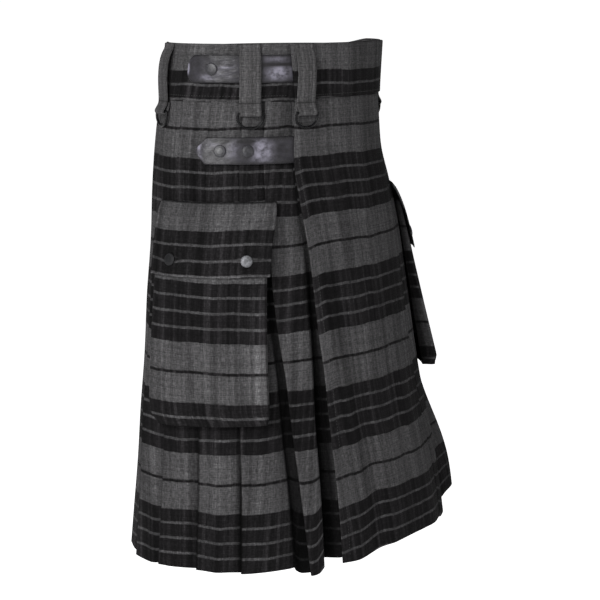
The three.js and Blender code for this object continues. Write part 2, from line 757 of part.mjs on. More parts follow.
const flapFace = (drop) => readTable(flapForm, drop, "stand");
const pocketSnaps = [
  { name: "front", angle: 55.7, drop: 249 },
  { name: "back", angle: 89.7, drop: 249 },
];
for (const snap of pocketSnaps) {
  addSnap(`pocket_snap_right_${snap.name}`, -snap.angle, snap.drop, flapFace, snapMetal);
  addSnap(`pocket_snap_left_${snap.name}`, snap.angle, snap.drop, flapFace, snapMetal);
}

addStrap(strapUpper);
addStrap(strapLower);
const strapSnaps = [
  { name: "upper", strap: strapUpper, angle: -75.6 },
  { name: "lower_tip", strap: strapLower, angle: -67.2 },
  { name: "lower_inner", strap: strapLower, angle: -53.8 },
];
for (const { name, strap, angle } of strapSnaps) {
  addSnap(`strap_snap_${name}`, angle, strap.middle, () => strap.seat + strapWall, blackMetal);
}

for (const place of loopPlaces) addLoopAndRing(place);

export default kilt;
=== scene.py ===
import math

import bpy
import numpy as np
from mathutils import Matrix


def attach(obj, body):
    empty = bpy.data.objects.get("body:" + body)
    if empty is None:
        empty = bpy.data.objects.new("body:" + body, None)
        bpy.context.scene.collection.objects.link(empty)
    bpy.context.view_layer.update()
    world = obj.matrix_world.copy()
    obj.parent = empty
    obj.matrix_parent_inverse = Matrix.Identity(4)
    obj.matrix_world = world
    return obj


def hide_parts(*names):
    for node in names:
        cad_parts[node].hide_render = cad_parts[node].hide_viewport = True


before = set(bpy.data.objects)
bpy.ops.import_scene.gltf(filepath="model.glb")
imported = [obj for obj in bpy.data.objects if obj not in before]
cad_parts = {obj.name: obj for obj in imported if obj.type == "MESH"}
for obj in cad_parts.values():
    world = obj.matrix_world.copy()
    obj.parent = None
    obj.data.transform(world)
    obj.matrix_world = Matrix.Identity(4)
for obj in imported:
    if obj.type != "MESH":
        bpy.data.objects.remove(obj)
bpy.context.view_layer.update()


def table(columns, *rows):
    """Rows with named columns."""
    names = columns.split()
    return [dict(zip(names, row)) for row in rows]


METRE = 0.001
TURN = math.pi / 180
KILT_DROP = 610
BAND_HEIGHT = 65
SEAM_GAP = 0.3
SKIRT_TOP = BAND_HEIGHT + SEAM_GAP
CLOTH_WALL = 1.0
APRON_WALL = 1.3
BAND_WALL = 2.8
FLAP_WALL = 1.9
POCKET_WALL = 1.5
STRAP_WALL = 2.1
PLEATS_PER_SIDE = 10
PLEAT_DEPTH_SHARE = 0.6
CENTRE_BACK = 180
BACK_STOP = 179.5

# The woven repeat, in millimetres down the cloth: a grey half with a black line in its middle,
# then a black half with three grey lines.
GREY_HALF = 68.1
BLACK_STRIPE = 14.8
GREY_LINE = 2.95
BLACK_LINE = 3.4
STRIPE_REPEAT = 136.2

# The body's outer surface, one oval for each height.
SECTIONS = table(
    "drop half_width half_depth back",
    (0, 162.5, 113, 1),
    (65, 165, 116, 8),
    (100, 169, 119, 10),
    (137, 175, 120.5, 10),
    (177, 185, 123.5, 5),
    (236, 197, 127, -2),
    (300, 206.5, 133, -5),
    (373, 216.5, 139.5, -9),
    (440, 229, 146, -13),
    (507, 241.5, 153, -20),
    (560, 250.5, 158.5, -24),
    (610, 257.5, 163, -26.5),
)

# The opening beside the apron, on one side: the apron's edge, the hollow and the first ridge.
OPENING = table(
    "drop apron valley valley_in ridge ridge_in",
    (65, 32.4, 30.9, 5.2, 33.9, 4.2),
    (150, 32.1, 29.6, 5.8, 33.6, 4.4),
    (200, 30.4, 27.9, 7, 32.4, 4),
    (257, 28.4, 26.1, 10, 30.3, 3.4),
    (337, 27.2, 25.4, 15, 29.5, 2),
    (400, 25.8, 25.2, 19, 29.4, 1.4),
    (507, 25.5, 26.2, 23, 30, 1.1),
    (610, 25.7, 27, 26, 30.4, 0.9),
)

# The rest of the first pleat: its fold, the tuck behind it, the gap and the next face.
FIRST_PLEAT = table(
    "drop fold tuck gap gap_in next next_in",
    (65, 46, 5, 48, 5.2, 50, 4.9),
    (150, 45.4, 5, 47.3, 5.6, 49.5, 5),
    (200, 45.2, 5, 47.2, 6.2, 49.5, 5),
    (257, 44.2, 4.5, 46, 8, 48.2, 5),
    (337, 42, 4, 43.6, 11.5, 45.6, 5),
    (400, 39.3, 3.2, 41.2, 14, 43, 5.4),
    (507, 37, 2.8, 39.2, 17.5, 41.4, 6),
    (610, 34.6, 2.2, 37.4, 20, 40.4, 6.5),
)
SECOND_PLEAT_PITCH = 16
SECOND_PLEAT_DEPTH = 5.5

# The step between a pleat's layers, pressed flat at the waist and open at the hem.
PLEAT_LAYERS = table(
    "drop layer second_fold",
    (65, 1.5, 57),
    (180, 1.7, 57.2),
    (300, 2.3, 57.6),
    (440, 3, 58),
    (610, 3.7, 58.6),
)

# How far the apron stands off the body, its edge's extra lift and the height of its waves. The
# lift and the waves fade over shares of the apron's half width.
APRON_STAND = table(
    "drop out lift wave",
    (0, 1.7, 3.2, 0),
    (150, 1.7, 3.4, 0),
    (257, 1.9, 4, 0.6),
    (400, 2.3, 5, 1.6),
    (610, 2.8, 6, 3),
)
LIFT_START = 0.52
LIFT_FULL = 0.86
WAVE_FADE = 0.25
WAVE_LENGTH = 8.2
WAVE_START = 0.6

# The under-apron's free edge, and how far it lies inside the body's surface.
UNDER_APRON = table(
    "drop free_edge inset",
    (0, 22, 4.4),
    (610, 14, 10.9),
)

# The front and back edges of the pocket and its flap, as angles on either side, and how far they
# stand off the body.
POCKET = table(
    "drop front back stand",
    (204, 46.6, 103.2, 7),
    (262, 47.3, 101.2, 11),
    (320, 48.2, 99.6, 15),
    (376, 48.7, 98, 19),
    (420, 48.6, 95.4, 22),
    (437, 48.9, 91.6, 22.5),
)
FLAP = table(
    "drop front back stand",
    (183, 40.9, 103, 2.8),
    (193, 41.7, 102.8, 7.6),
    (212, 43.3, 102.6, 11.6),
    (236, 45.3, 102.2, 14),
    (268, 46.6, 101.8, 16.6),
)

# Soft upright creases in the skirt: angle at the top, lean towards the hem,
# first and last drop, width in degrees, and depth out of the surface.
CREASES = table(
    "angle lean top foot width depth",
    (-47, 1.5, 110, 330, 1.8, 0.8),
    (-58, -1.5, 150, 420, 2.2, 1.1),
    (-71, 1.2, 100, 300, 3.0, -1.3),
    (-66, -2, 430, 650, 2.6, 2.2),
    (-76, 1.5, 410, 640, 2.4, -2.0),
    (-84, -2, 260, 640, 3.4, 2.2),
    (-97, 1.5, 330, 640, 2.6, -2.0),
    (-113, -1, 180, 560, 3.6, 2.1),
    (-128, 2, 300, 640, 3.0, -2.1),
    (-146, -1.5, 140, 470, 3.2, 1.7),
    (-162, 1, 280, 640, 3.4, 2.2),
    (50, -3, 445, 735, 5, 13),
    (61, 1.5, 160, 430, 2.4, 1.4),
    (76, -1, 120, 330, 3.2, -1.2),
    (90, 2, 280, 640, 3.0, 2.1),
    (108, -1.5, 340, 640, 2.8, -1.9),
    (124, 1, 200, 580, 3.6, 2.0),
    (141, -2, 300, 640, 2.8, -2.1),
    (157, 1.5, 150, 500, 3.4, 1.8),
)

# The same for the apron.
APRON_CREASES = table(
    "angle lean top foot width depth",
    (-21, 2, 230, 520, 1.8, 1.2),
    (-17, 3, 330, 660, 2.6, 2.6),
    (-8, -2, 360, 660, 2.4, -2.4),
    (-2, 1.5, 100, 330, 2.2, -1.0),
    (3, 2, 180, 470, 3.4, 1.5),
    (12, -1.5, 320, 660, 2.8, 2.6),
    (19, 1, 250, 560, 2.2, -1.6),
)


def read_table(table, drop, key):
    """A smooth curve through one column of a table, at any drops."""
    drops = np.array([row["drop"] for row in table], float)
    values = np.array([row[key] for row in table], float)
    last = len(table) - 1
    low = np.maximum(np.arange(last + 1) - 1, 0)
    high = np.minimum(np.arange(last + 1) + 1, last)
    slopes = (values[high] - values[low]) / (drops[high] - drops[low])
    at = np.asarray(drop, float)
    row = np.clip(np.searchsorted(drops, at, side="left") - 1, 0, last - 1)
    span = drops[row + 1] - drops[row]
    t = np.clip((at - drops[row]) / span, 0, 1)
    t2 = t * t
    t3 = t2 * t
    start = values[row] * (2 * t3 - 3 * t2 + 1) + slopes[row] * span * (t3 - 2 * t2 + t)
    end = values[row + 1] * (3 * t2 - 2 * t3) + slopes[row + 1] * span * (t3 - t2)
    return start + end


def read_columns(rows, drop, keys):
    return [read_table(rows, drop, key) for key in keys.split()]


def smooth_step(value):
    t = np.clip(value, 0, 1)
    return t * t * (3 - 2 * t)


def rise(value, start, end):
    """Smoothly from 0 at start to 1 at end."""
    return smooth_step((value - start) / (end - start))


def between(value, start, full, fade, end):
    """Smoothly up from start to full, and down again from fade to end."""
    return rise(value, start, full) * (1 - rise(value, fade, end))


def body_point(angle, drop, out):
    """Points on the body in millimetres, out millimetres off its surface."""
    a, b, back = read_columns(SECTIONS, drop, "half_width half_depth back")
    s = np.sin(np.asarray(angle) * TURN)
    c = np.cos(np.asarray(angle) * TURN)
    nx = s / a
    ny = -c / b
    size = np.hypot(nx, ny)
    x = a * s + nx / size * out
    y = -b * c + back + ny / size * out
    z = BAND_HEIGHT / 2 - np.asarray(drop, float) + 0 * x
    return np.stack([x, y, z], axis=-1)


def arc_per_degree(angle, drop):
    a, b = read_columns(SECTIONS, drop, "half_width half_depth")
    return np.hypot(a * np.cos(angle * TURN), b * np.sin(angle * TURN)) * TURN


def creases_at(table, angle, drop):
    """How far the creases of a table stand out of the surface."""
    total = np.zeros(np.broadcast(angle, drop).shape)
    for row in table:
        t = (drop - row["top"]) / (row["foot"] - row["top"])
        inside = np.sin(np.clip(t, 0, 1) * math.pi) ** 1.2
        middle = row["angle"] + row["lean"] * t
        total = total + row["depth"] * inside * np.exp(-(((angle - middle) / row["width"]) ** 2))
    return total


def spots(rows, x, y):
    """The sum of soft spots, each with its middle, its reach both ways and its amount."""
    total = np.zeros(np.broadcast(x, y).shape)
    for row in rows:
        u = (x - row["across"]) / row["wide"]
        v = (y - row["down"]) / row["tall"]
        total = total + row["amount"] * np.exp(-u * u - v * v)
    return total


def rounded_edge(distance, reach, thinnest):
    """The share of a wall's thickness at a distance from its edge."""
    return np.sqrt(np.clip(distance / reach, thinnest, 1))


# Mesh making

def add_object(name, data):
    made = bpy.data.objects.new(name, data)
    bpy.context.scene.collection.objects.link(made)
    return made


def surface_normals(grid):
    along = np.gradient(grid, axis=1)
    down = np.gradient(grid, axis=0)
    normal = np.cross(along, down)
    return normal / np.maximum(np.linalg.norm(normal, axis=-1, keepdims=True), 1e-9)


def mesh_object(name, points, faces, uv=None, light=None):
    """A smooth closed mesh of quads, in metres from millimetres, with its faces pointing out."""
    points = np.asarray(points, float) * METRE
    faces = np.asarray(faces)
    a, b, c, d = (points[faces[:, k]] for k in range(4))
    if np.sum(a * np.cross(b, c)) + np.sum(a * np.cross(c, d)) < 0:
        faces = faces[:, ::-1]
    mesh = bpy.data.meshes.new(name)
    mesh.from_pydata(points.tolist(), [], faces.tolist())
    if uv is not None:
        layer = mesh.uv_layers.new(name="UVMap")
        index = np.empty(len(mesh.loops), dtype=np.int64)
        mesh.loops.foreach_get("vertex_index", index)
        layer.data.foreach_set("uv", np.asarray(uv, np.float32)[index].ravel())
    if light is not None:
        shades = mesh.attributes.new("light", "FLOAT", "POINT")
        shades.data.foreach_set("value", np.asarray(light, np.float32))
    mesh.shade_smooth()
    mesh.validate()
    mesh.update()
    return add_object(name, mesh)


def grid_faces(rows, columns):
    """The faces of a closed wall of two skins, each rows by columns points."""
    outer = np.arange(rows * columns).reshape(rows, columns)
    inner = outer + rows * columns
    quads = [
        (outer[:-1, :-1], outer[1:, :-1], outer[1:, 1:], outer[:-1, 1:]),
        (inner[:-1, 1:], inner[1:, 1:], inner[1:, :-1], inner[:-1, :-1]),
        (inner[:-1, 0], inner[1:, 0], outer[1:, 0], outer[:-1, 0]),
        (outer[:-1, -1], outer[1:, -1], inner[1:, -1], inner[:-1, -1]),
        (outer[0, :-1], outer[0, 1:], inner[0, 1:], inner[0, :-1]),
        (inner[-1, :-1], inner[-1, 1:], outer[-1, 1:], outer[-1, :-1]),
    ]
    return np.concatenate([np.stack([corner.ravel() for corner in quad], axis=1) for quad in quads])


def cloth_wall(name, grid, wall, pattern, thicken=None, light=None):
    """A closed cloth wall round a grid of middle points. pattern is each point's place down the
    woven repeat, and the place across it is measured along the cloth. thicken is the share of
    the wall's thickness at each point. light is painted light: above 1 a painted highlight, and
    below 1 painted shade, as in a fold."""
    normal = surface_normals(grid)
    half = wall / 2 * (1 if thicken is None else thicken[..., None])
    rows, columns = grid.shape[:2]
    steps = np.linalg.norm(np.diff(grid, axis=1), axis=-1)
    across = np.concatenate([np.zeros((rows, 1)), np.cumsum(steps, axis=1)], axis=1)
    across = across - across[:, columns // 2:columns // 2 + 1]
    uv = np.stack([across, np.broadcast_to(pattern, across.shape)], axis=-1).reshape(-1, 2) * METRE
    points = np.concatenate([grid + normal * half, grid - normal * half]).reshape(-1, 3)
    shade = np.broadcast_to(1.0 if light is None else light, (rows, columns)).reshape(-1)
    return mesh_object(name, points, grid_faces(rows, columns), np.tile(uv, (2, 1)), np.tile(shade, 2))


def divided(stops, counts):
    """Finer stops along a path. stops holds (angle, out) columns, and counts the steps of each
    stretch, closer together at its ends, where the cloth turns."""
    stops = np.array(stops)
    runs = []
    for k, count in enumerate(counts):
        t = np.arange(count) / count
        t = (0.5 * t + 0.5 * smooth_step(t))[:, None, None]
        runs.append(stops[k] * (1 - t) + stops[k + 1] * t)
    path = np.concatenate(runs + [stops[-1:]])
    return path[:, 0].T, path[:, 1].T


def stretches(*runs):
    """Values in runs, each with its first, its last and how many."""
    return np.concatenate([np.linspace(*run) for run in runs])


def spread(column, grid):
    """One value for each row, over a whole grid."""
    return np.broadcast_to(column[:, None], grid.shape)


def softened(grid, passes):
    """Rounds the folds of a grid, leaving its first and last columns where they are."""
    for _ in range(passes):
        inner = 0.25 * grid[:, :-2] + 0.5 * grid[:, 1:-1] + 0.25 * grid[:, 2:]
        grid = np.concatenate([grid[:, :1], inner, grid[:, -1:]], axis=1)
    return grid


def finish_piece(piece, body, nodes, material):
    piece.data.materials.clear()
    piece.data.materials.append(material)
    if nodes:
        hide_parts(*nodes)
    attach(piece, body)


def add_cloth(name, node, grid, wall, pattern, thicken=None, light=None):
    """A striped piece that stands for one solid."""
    piece = cloth_wall(name, grid, wall, pattern, thicken, light)
    finish_piece(piece, GARMENT, [node], STRIPED)


# Materials

class Tree:
    """A material's nodes, made one by one and joined by name."""

    def __init__(self, name):
        self.material = bpy.data.materials.new(name)
        self.material.use_nodes = True
        self.tree = self.material.node_tree
        self.shader = self.tree.nodes["Principled BSDF"]

    def node(self, kind, inputs=None, **settings):
        made = self.tree.nodes.new(kind)
        for key, value in settings.items():
            setattr(made, key, value)
        self.put(made, inputs or {})
        return made

    def put(self, node, values):
        """Joins or sets a node's sockets. A value of None leaves its socket alone."""
        for key, value in values.items():
            if isinstance(value, bpy.types.NodeSocket):
                self.tree.links.new(value, node.inputs[key])
            elif value is not None:
                node.inputs[key].default_value = value

    def math(self, operation, *values):
        return self.node("ShaderNodeMath", dict(enumerate(values)), operation=operation).outputs[0]

    def mix(self, share, a, b, blend="MIX"):
        inputs = {"Factor": share, "A": a, "B": b}
        return self.node("ShaderNodeMix", inputs, data_type="RGBA", blend_type=blend).outputs["Result"]

    def noise(self, place, scale, detail=2.0, rough=0.5):
        """Noise over a place, drawn in by a scale along each axis."""
        drawn = self.node("ShaderNodeMapping", {"Vector": place, "Scale": scale}).outputs["Vector"]
        inputs = {"Vector": drawn, "Scale": 1.0, "Detail": detail, "Roughness": rough}
        return self.node("ShaderNodeTexNoise", inputs).outputs["Fac"]

    def ramp(self, value, stops):
        made = self.node("ShaderNodeValToRGB", {"Fac": value})
        elements = made.color_ramp.elements
        while len(elements) < len(stops):
            elements.new(0.5)
        for element, (place, shade) in zip(elements, stops):
            element.position = place
            element.color = (shade, shade, shade, 1)
        return made.outputs["Color"]

    def tint(self, colour, strength, value, stops):
        """A colour multiplied by a ramp of shades over a value."""
        return self.mix(strength, colour, self.ramp(value, stops), "MULTIPLY")

    def bump(self, height, strength, distance, under=None):
        inputs = {"Strength": strength, "Distance": distance, "Height": height, "Normal": under}
        return self.node("ShaderNodeBump", inputs).outputs["Normal"]

    def surface(self, colour, rough, specular, normal, metallic=0.0):
        self.put(self.shader, {"Base Color": colour, "Roughness": rough, "Normal": normal,
                               "Specular IOR Level": specular, "Metallic": metallic})
        return self.material


EDGE_SOFTNESS = 0.35
LINE_SHADE = 0.8


def stripe_stops():
    """The woven repeat as shares of its length: 0 is black and 1 is grey."""
    middle = GREY_HALF / 2
    edges = [(middle - BLACK_LINE / 2, 0), (middle + BLACK_LINE / 2, 1), (GREY_HALF, 0)]
    for k in range(3):
        line = GREY_HALF + BLACK_STRIPE + k * (BLACK_STRIPE + GREY_LINE)
        edges += [(line, LINE_SHADE), (line + GREY_LINE, 0)]
    stops = [(0, 1)]
    for place, shade in edges:
        stops.append(((place - EDGE_SOFTNESS) / STRIPE_REPEAT, stops[-1][1]))
        stops.append(((place + EDGE_SOFTNESS) / STRIPE_REPEAT, shade))
    return stops + [(1, stops[-1][1])]


GREY_YARN = (0.0325, 0.0318, 0.0328, 1)
LOOP_YARN = (0.040, 0.039, 0.040, 1)
BLACK_YARN = (0.0066, 0.0062, 0.0066, 1)
THREAD_PITCH = 0.0011

# How the stripes stray down the cloth, in metres, and what brings them back to their middle.
STRAY = table(
    "across down reach",
    (16, 5, 0.0072),
    (170, 60, 0.0013),
)
STRAY_MIDDLE = 0.0042
BLACK_COLUMNS = [(0.38, 0.35), (0.47, 0.55), (0.54, 0.85), (0.62, 1.5)]

# Streaks, broad shades, slubs and fuzz laid over the colour: the strength of each, its noise
# and its shades.
CLOTH_SHADES = table(
    "strength across down detail rough shades",
    (0.62, 165, 2.2, 3.0, 0.6, [(0.36, 0.55), (0.46, 0.84), (0.53, 1.02), (0.60, 1.42), (0.68, 1.12)]),
    (0.6, 38, 6, 2.0, 0.5, [(0.36, 0.66), (0.64, 1.36)]),
    (0.5, 7, 620, 2.0, 0.6, [(0.38, 0.68), (0.62, 1.34)]),
    (0.6, 300, 260, 3.0, 0.7, [(0.32, 0.62), (0.68, 1.42)]),
)
YARN_SHADES = [(0.36, 0.40), (0.5, 1.0), (0.64, 1.85)]


def woven_cloth(name, striped):
    """Cotton cloth: its stripes, uneven yarns, upright streaks, soft mottling, painted shade and painted
    highlights, and weave.
    """
    t = Tree(name)
    place = t.node("ShaderNodeUVMap", uv_map="UVMap").outputs["UV"]
    split = t.node("ShaderNodeSeparateXYZ", {0: place}).outputs
    across = split["X"]
    down = split["Y"]
    colour = LOOP_YARN
    if striped:
        strayed = down
        for row in STRAY:
            noise = t.noise(place, (row["across"], row["down"], 1), 1.0)
            strayed = t.math("MULTIPLY_ADD", noise, row["reach"], strayed)
        strayed = t.math("SUBTRACT", strayed, STRAY_MIDDLE)
        share = t.math("FRACT", t.math("DIVIDE", strayed, STRIPE_REPEAT * METRE))
        columns = t.noise(place, (105, 1.2, 1), 3.0, 0.65)
        black = t.tint(BLACK_YARN, 1.0, columns, BLACK_COLUMNS)
        colour = t.mix(t.ramp(share, stripe_stops()), black, GREY_YARN)
    for row in CLOTH_SHADES:
        noise = t.noise(place, (row["across"], row["down"], 1), row["detail"], row["rough"])
        colour = t.tint(colour, row["strength"], noise, row["shades"])
    yarn_across = t.noise(place, (170, 1300, 1), 2.0, 0.7)
    yarn_down = t.noise(place, (1300, 130, 1), 2.0, 0.7)
    yarns = t.ramp(t.math("MULTIPLY", t.math("ADD", yarn_across, yarn_down), 0.5), YARN_SHADES)
    colour = t.mix(0.9, colour, yarns, "MULTIPLY")
    # The light attribute paints light into the colour: painted shade below 1, painted highlight above 1.
    light = t.node("ShaderNodeAttribute", attribute_name="light").outputs["Fac"]
    colour = t.tint(colour, 1.0, t.math("MULTIPLY", light, 0.5), [(0, 0.0), (0.5, 1.0), (1, 2.0)])
    wave = 2 * math.pi / THREAD_PITCH
    weave = t.math("MULTIPLY", t.math("SINE", t.math("MULTIPLY", across, wave)),
                   t.math("SINE", t.math("MULTIPLY", down, wave)))
    low = t.bump(t.noise(place, (55, 14, 1)), 0.5, 0.005)
    fine = t.bump(weave, 0.6, 0.0004, low)
    return t.surface(colour, 0.95, 0.05, t.bump(yarns, 0.6, 0.0006, fine))


DARK_LEATHER = (0.0062, 0.0058, 0.0066, 1)
# The pale, lilac grey that the painted sheen on the leather reaches.
SHEEN_LEATHER = (0.092, 0.088, 0.108, 1)


def black_leather(name):
    """Black leather: paler with painted sheen and glints where its light attribute is high, in blots which
    are also glossier, with soft creases and a fine grain.
    """
    t = Tree(name)
    place = t.node("ShaderNodeUVMap", uv_map="UVMap").outputs["UV"]
    grain = t.noise(place, (1000, 1000, 1), 3.0, 0.6)
    blots = t.noise(place, (120, 150, 1), 4.0, 0.6)
    folds = t.noise(place, (55, 120, 1), 3.0, 0.55)
    light = t.node("ShaderNodeAttribute", attribute_name="light").outputs["Fac"]
    # Painted sheen: the light attribute, broken into blots, mixes the dark leather towards its sheen colour.
    wear_and_sheen = t.math("MULTIPLY", light, t.ramp(blots, [(0.34, 0.25), (0.50, 0.9), (0.66, 1.5)]))
    colour = t.mix(t.math("MINIMUM", wear_and_sheen, 1.5), DARK_LEATHER, SHEEN_LEATHER)
    rough = t.ramp(blots, [(0.36, 0.46), (0.62, 0.34)])
    return t.surface(colour, rough, 0.13, t.bump(grain, 0.3, 0.0005, t.bump(folds, 0.45, 0.003)))


def metal(name, colour, rough, metallic, specular=0.5):
    """Lacquered or plain metal with fine scratches and worn patches."""
    t = Tree(name)
    place = t.node("ShaderNodeTexCoord").outputs["Object"]
    wear_and_sheen = t.noise(place, (220, 220, 220), 3.0, 0.6)
    pale = tuple(min(c * 2.2, 1) for c in colour[:3]) + (1,)
    mixed = t.mix(t.ramp(wear_and_sheen, [(0.45, 0), (0.7, 1)]), colour, pale)
    worn = t.ramp(wear_and_sheen, [(0.3, rough), (0.7, rough + 0.14)])
    return t.surface(mixed, worn, specular, t.bump(wear_and_sheen, 0.1, 0.0004), metallic)


STRIPED = woven_cloth("striped_cotton", True)
PLAIN = woven_cloth("plain_grey_cotton", False)
LEATHER = black_leather("black_strap_leather")
RING_METAL = metal("black_ring_metal", (0.0020, 0.0020, 0.0022, 1), 0.22, 0.0, 0.08)
STRAP_SNAP = metal("black_snap_metal", (0.0080, 0.0078, 0.0092, 1), 0.34, 0.0, 0.20)
# The pocket's back snaps in painted shade: a darker, duller snap metal.
SHADED_SNAP = metal("shaded_black_snap", (0.0040, 0.0040, 0.0044, 1), 0.50, 0.0, 0.10)
POCKET_SNAP = metal("gunmetal_snap", (0.060, 0.061, 0.065, 1), 0.46, 0.8)
THREAD = metal("dark_sewing_thread", (0.0045, 0.0043, 0.0045, 1), 0.8, 0.0)

# The pattern's place: the skirt's repeat starts at its top seam. Waistband, flaps and pockets
# are cut from other stretches of the cloth.
SKIRT_PATTERN = -SKIRT_TOP
BAND_PATTERN = 35.9
FLAP_PATTERN = -146.9
POCKET_PATTERN = -207.9 + STRIPE_REPEAT
POCKET_TILT = 3.5

GARMENT = "garment"
SIDES = (("right", -1), ("left", 1))
SKIRT_DROPS = np.linspace(SKIRT_TOP, KILT_DROP, 110)


def later_folds():
    """Angles of the fold edges of pleats 2 to 10 and the centre back, even along the hem."""
    step = 0.25
    first = float(read_table(PLEAT_LAYERS, KILT_DROP, "second_fold"))
    angles = np.arange(first, BACK_STOP + step, step)
    lengths = np.concatenate([[0], np.cumsum(arc_per_degree(angles[:-1], KILT_DROP)) * step])
    wanted = np.linspace(0, lengths[-1], PLEATS_PER_SIDE - 1)
    return angles[np.searchsorted(lengths, wanted - 1e-9)]


LATER_FOLDS = later_folds()
SWINGING_PLEATS = 3


def fold_angle(number, drop):
    swing = read_table(PLEAT_LAYERS, drop, "second_fold") - LATER_FOLDS[0]
    share = max(1 - (number - 2) / SWINGING_PLEATS, 0)
    return np.minimum(LATER_FOLDS[number - 2] + swing * share, BACK_STOP)


SEAM_SHARE = 0.35


def opening_seam(drop):
    """Where the apron and the skirt meet in the hollow beside the apron."""
    valley, ridge, valley_in, ridge_in = read_columns(OPENING, drop, "valley ridge valley_in ridge_in")
    return valley + (ridge - valley) * SEAM_SHARE, -valley_in + (valley_in - ridge_in) * SEAM_SHARE


TUCK_STAND = 0.6
TUCK_SINK = 0.8


def side_path(drop):
    """One side's folded cloth, front to back: its stops, and how finely each stretch is cut."""
    layer = read_table(PLEAT_LAYERS, drop, "layer")
    skin = CLOTH_WALL / 2
    ridge, ridge_in = read_columns(OPENING, drop, "ridge ridge_in")
    fold, tuck, gap, gap_in = read_columns(FIRST_PLEAT, drop, "fold tuck gap gap_in")
    after, after_in = read_columns(FIRST_PLEAT, drop, "next next_in")
    tuck_in = skin + layer * TUCK_STAND + TUCK_SINK
    flat = np.zeros_like(drop)
    stops = [
        opening_seam(drop),
        (ridge, -ridge_in),
        ((ridge + fold) / 2, -(ridge_in + skin) / 2),
        (fold, flat - skin),
        (fold, -skin - layer),
        (fold - tuck, -tuck_in - layer),
        (fold - tuck, -tuck_in - 2 * layer),
        (gap, -gap_in),
        (after, -after_in),
    ]
    counts = [5, 9, 9, 4, 6, 4, 6, 5]
    for number in range(2, PLEATS_PER_SIDE + 1):
        at = fold_angle(number, drop)
        pitch = SECOND_PLEAT_PITCH if number == 2 else at - fold_angle(number - 1, drop)
        depth = SECOND_PLEAT_DEPTH if number == 2 else pitch * PLEAT_DEPTH_SHARE
        half = depth / 2
        places = [(depth, 0), (half, 0), (0, 0), (0, 1), (half, 1), (depth, 1), (depth, 2), (half, 2)]
        slope = 2 * layer / pitch
        pleat = [(at - behind, -skin - slope * behind - deep * layer) for behind, deep in places]
        if number == 2:
            pleat[0] = ((after + at) / 2, pleat[0][1])
        stops += pleat
        onward = at if number < PLEATS_PER_SIDE else CENTRE_BACK + flat
        stops.append((onward, -skin - 2 * layer))
        counts += [7, 6, 6, 4, 5, 5, 4, 5, 5]
    stops = [(a * np.ones_like(drop), o * np.ones_like(drop)) for a, o in stops]
    return stops, counts


STOPS_IN_OPENING = 9
STOPS_PER_PLEAT = 9
SIDE_CUT = STOPS_IN_OPENING + 4 * STOPS_PER_PLEAT - 2


# The drops from which the hem sways, and from which its places hang higher or lower.
SWAY_TOP = 470
HEM_TOP = 440
SKIRT_SWAY = 1.6
APRON_SWAY = 2.2
SWAY_IN_PATTERN = 0.6


def hem_sway(angle, drop, depth):
    """How far the cloth hangs unevenly at the hem, in millimetres down."""
    wave = np.sin(angle * TURN * 11 + 0.7) + 0.6 * np.sin(angle * TURN * 23 + 2.1)
    return rise(drop, SWAY_TOP, KILT_DROP) * depth * wave * 0.5


# Where the hem hangs lower (below 0) or higher: the middle angle, its width and the change.
HEM_PLACES = table(
    "angle width change",
    (-34.4, 4.0, -12),
    (31.5, 4.2, -3),
    (60, 21, 25),
    (-82, 14, 5),
    (-118, 20, 3),
    (150, 18, 3),
)


def hem_places(angle, drop):
    total = np.zeros(np.broadcast(angle, drop).shape)
    for row in HEM_PLACES:
        total = total + row["change"] * np.exp(-(((angle - row["angle"]) / row["width"]) ** 4))
    return total * rise(drop, HEM_TOP, KILT_DROP)


# How dark the painted shade gets down in a fold, and over how many millimetres.
FOLD_DARK = 0.86
FOLD_DARK_REACH = 9
SKIRT_FOLD_START = 3.4
APRON_FOLD_START = 1.5
UNDER_FOLD_START = 5


def fold_light(out, start):
    """Painted shade: darker the deeper the cloth lies in a fold, from start millimetres in."""
    return 1 - FOLD_DARK * rise(-out, start, start + FOLD_DARK_REACH)


# How dark the gap beside each later fold is, from the second pleat to the last.
FOLD_DARKNESS = [0.95, 0.62, 0.4, 0.8, 0.55, 0.9, 0.5, 0.7, 0.6]


def fold_shadow(angle, drop):
    """Darker cloth in the gap just behind each fold edge, widening towards the hem."""
    total = np.ones(angle.shape)
    opening = 0.25 + 0.75 * rise(drop, 300, 570)
    for number, darkness in enumerate(FOLD_DARKNESS, start=2):
        behind = angle - fold_angle(number, drop)
        total = total * (1 - darkness * opening * between(behind, -0.2, 0, 0.25, 1.15))
    return total


# On the strip beside the apron the stripes curl up towards its ridge.
STRIP_CURL = 6


def add_skirt_side(side_name, side):
    drop = SKIRT_DROPS
    stops, counts = side_path(drop)
    parts = [
        ("front", stops[:SIDE_CUT + 1], counts[:SIDE_CUT]),
        ("back", stops[SIDE_CUT:], counts[SIDE_CUT:]),
    ]
    for end, part, part_counts in parts:
        angle, out = divided(part, part_counts)
        angle = angle * side
        drops = spread(drop, angle)
        out = out + creases_at(CREASES, angle, drops)
        grid = softened(body_point(angle, drops, out), 2)
        sway = hem_sway(angle, drops, SKIRT_SWAY)
        grid[..., 2] += np.maximum(sway, 0) + hem_places(angle, drops)
        pattern = drops + SKIRT_PATTERN - sway * SWAY_IN_PATTERN
        if end == "front":
            beside_apron = 1 - rise(np.abs(angle), 30, 34)
            pattern = pattern + STRIP_CURL * rise(drops, SWAY_TOP, KILT_DROP) * beside_apron
        light = fold_light(out, SKIRT_FOLD_START) * fold_shadow(np.abs(angle), drops)
        piece = cloth_wall(f"skirt_{side_name}_{end}", grid, CLOTH_WALL, pattern, light=light)
        finish_piece(piece, GARMENT, [f"skirt_pleats_{side_name}_{end}"], STRIPED)


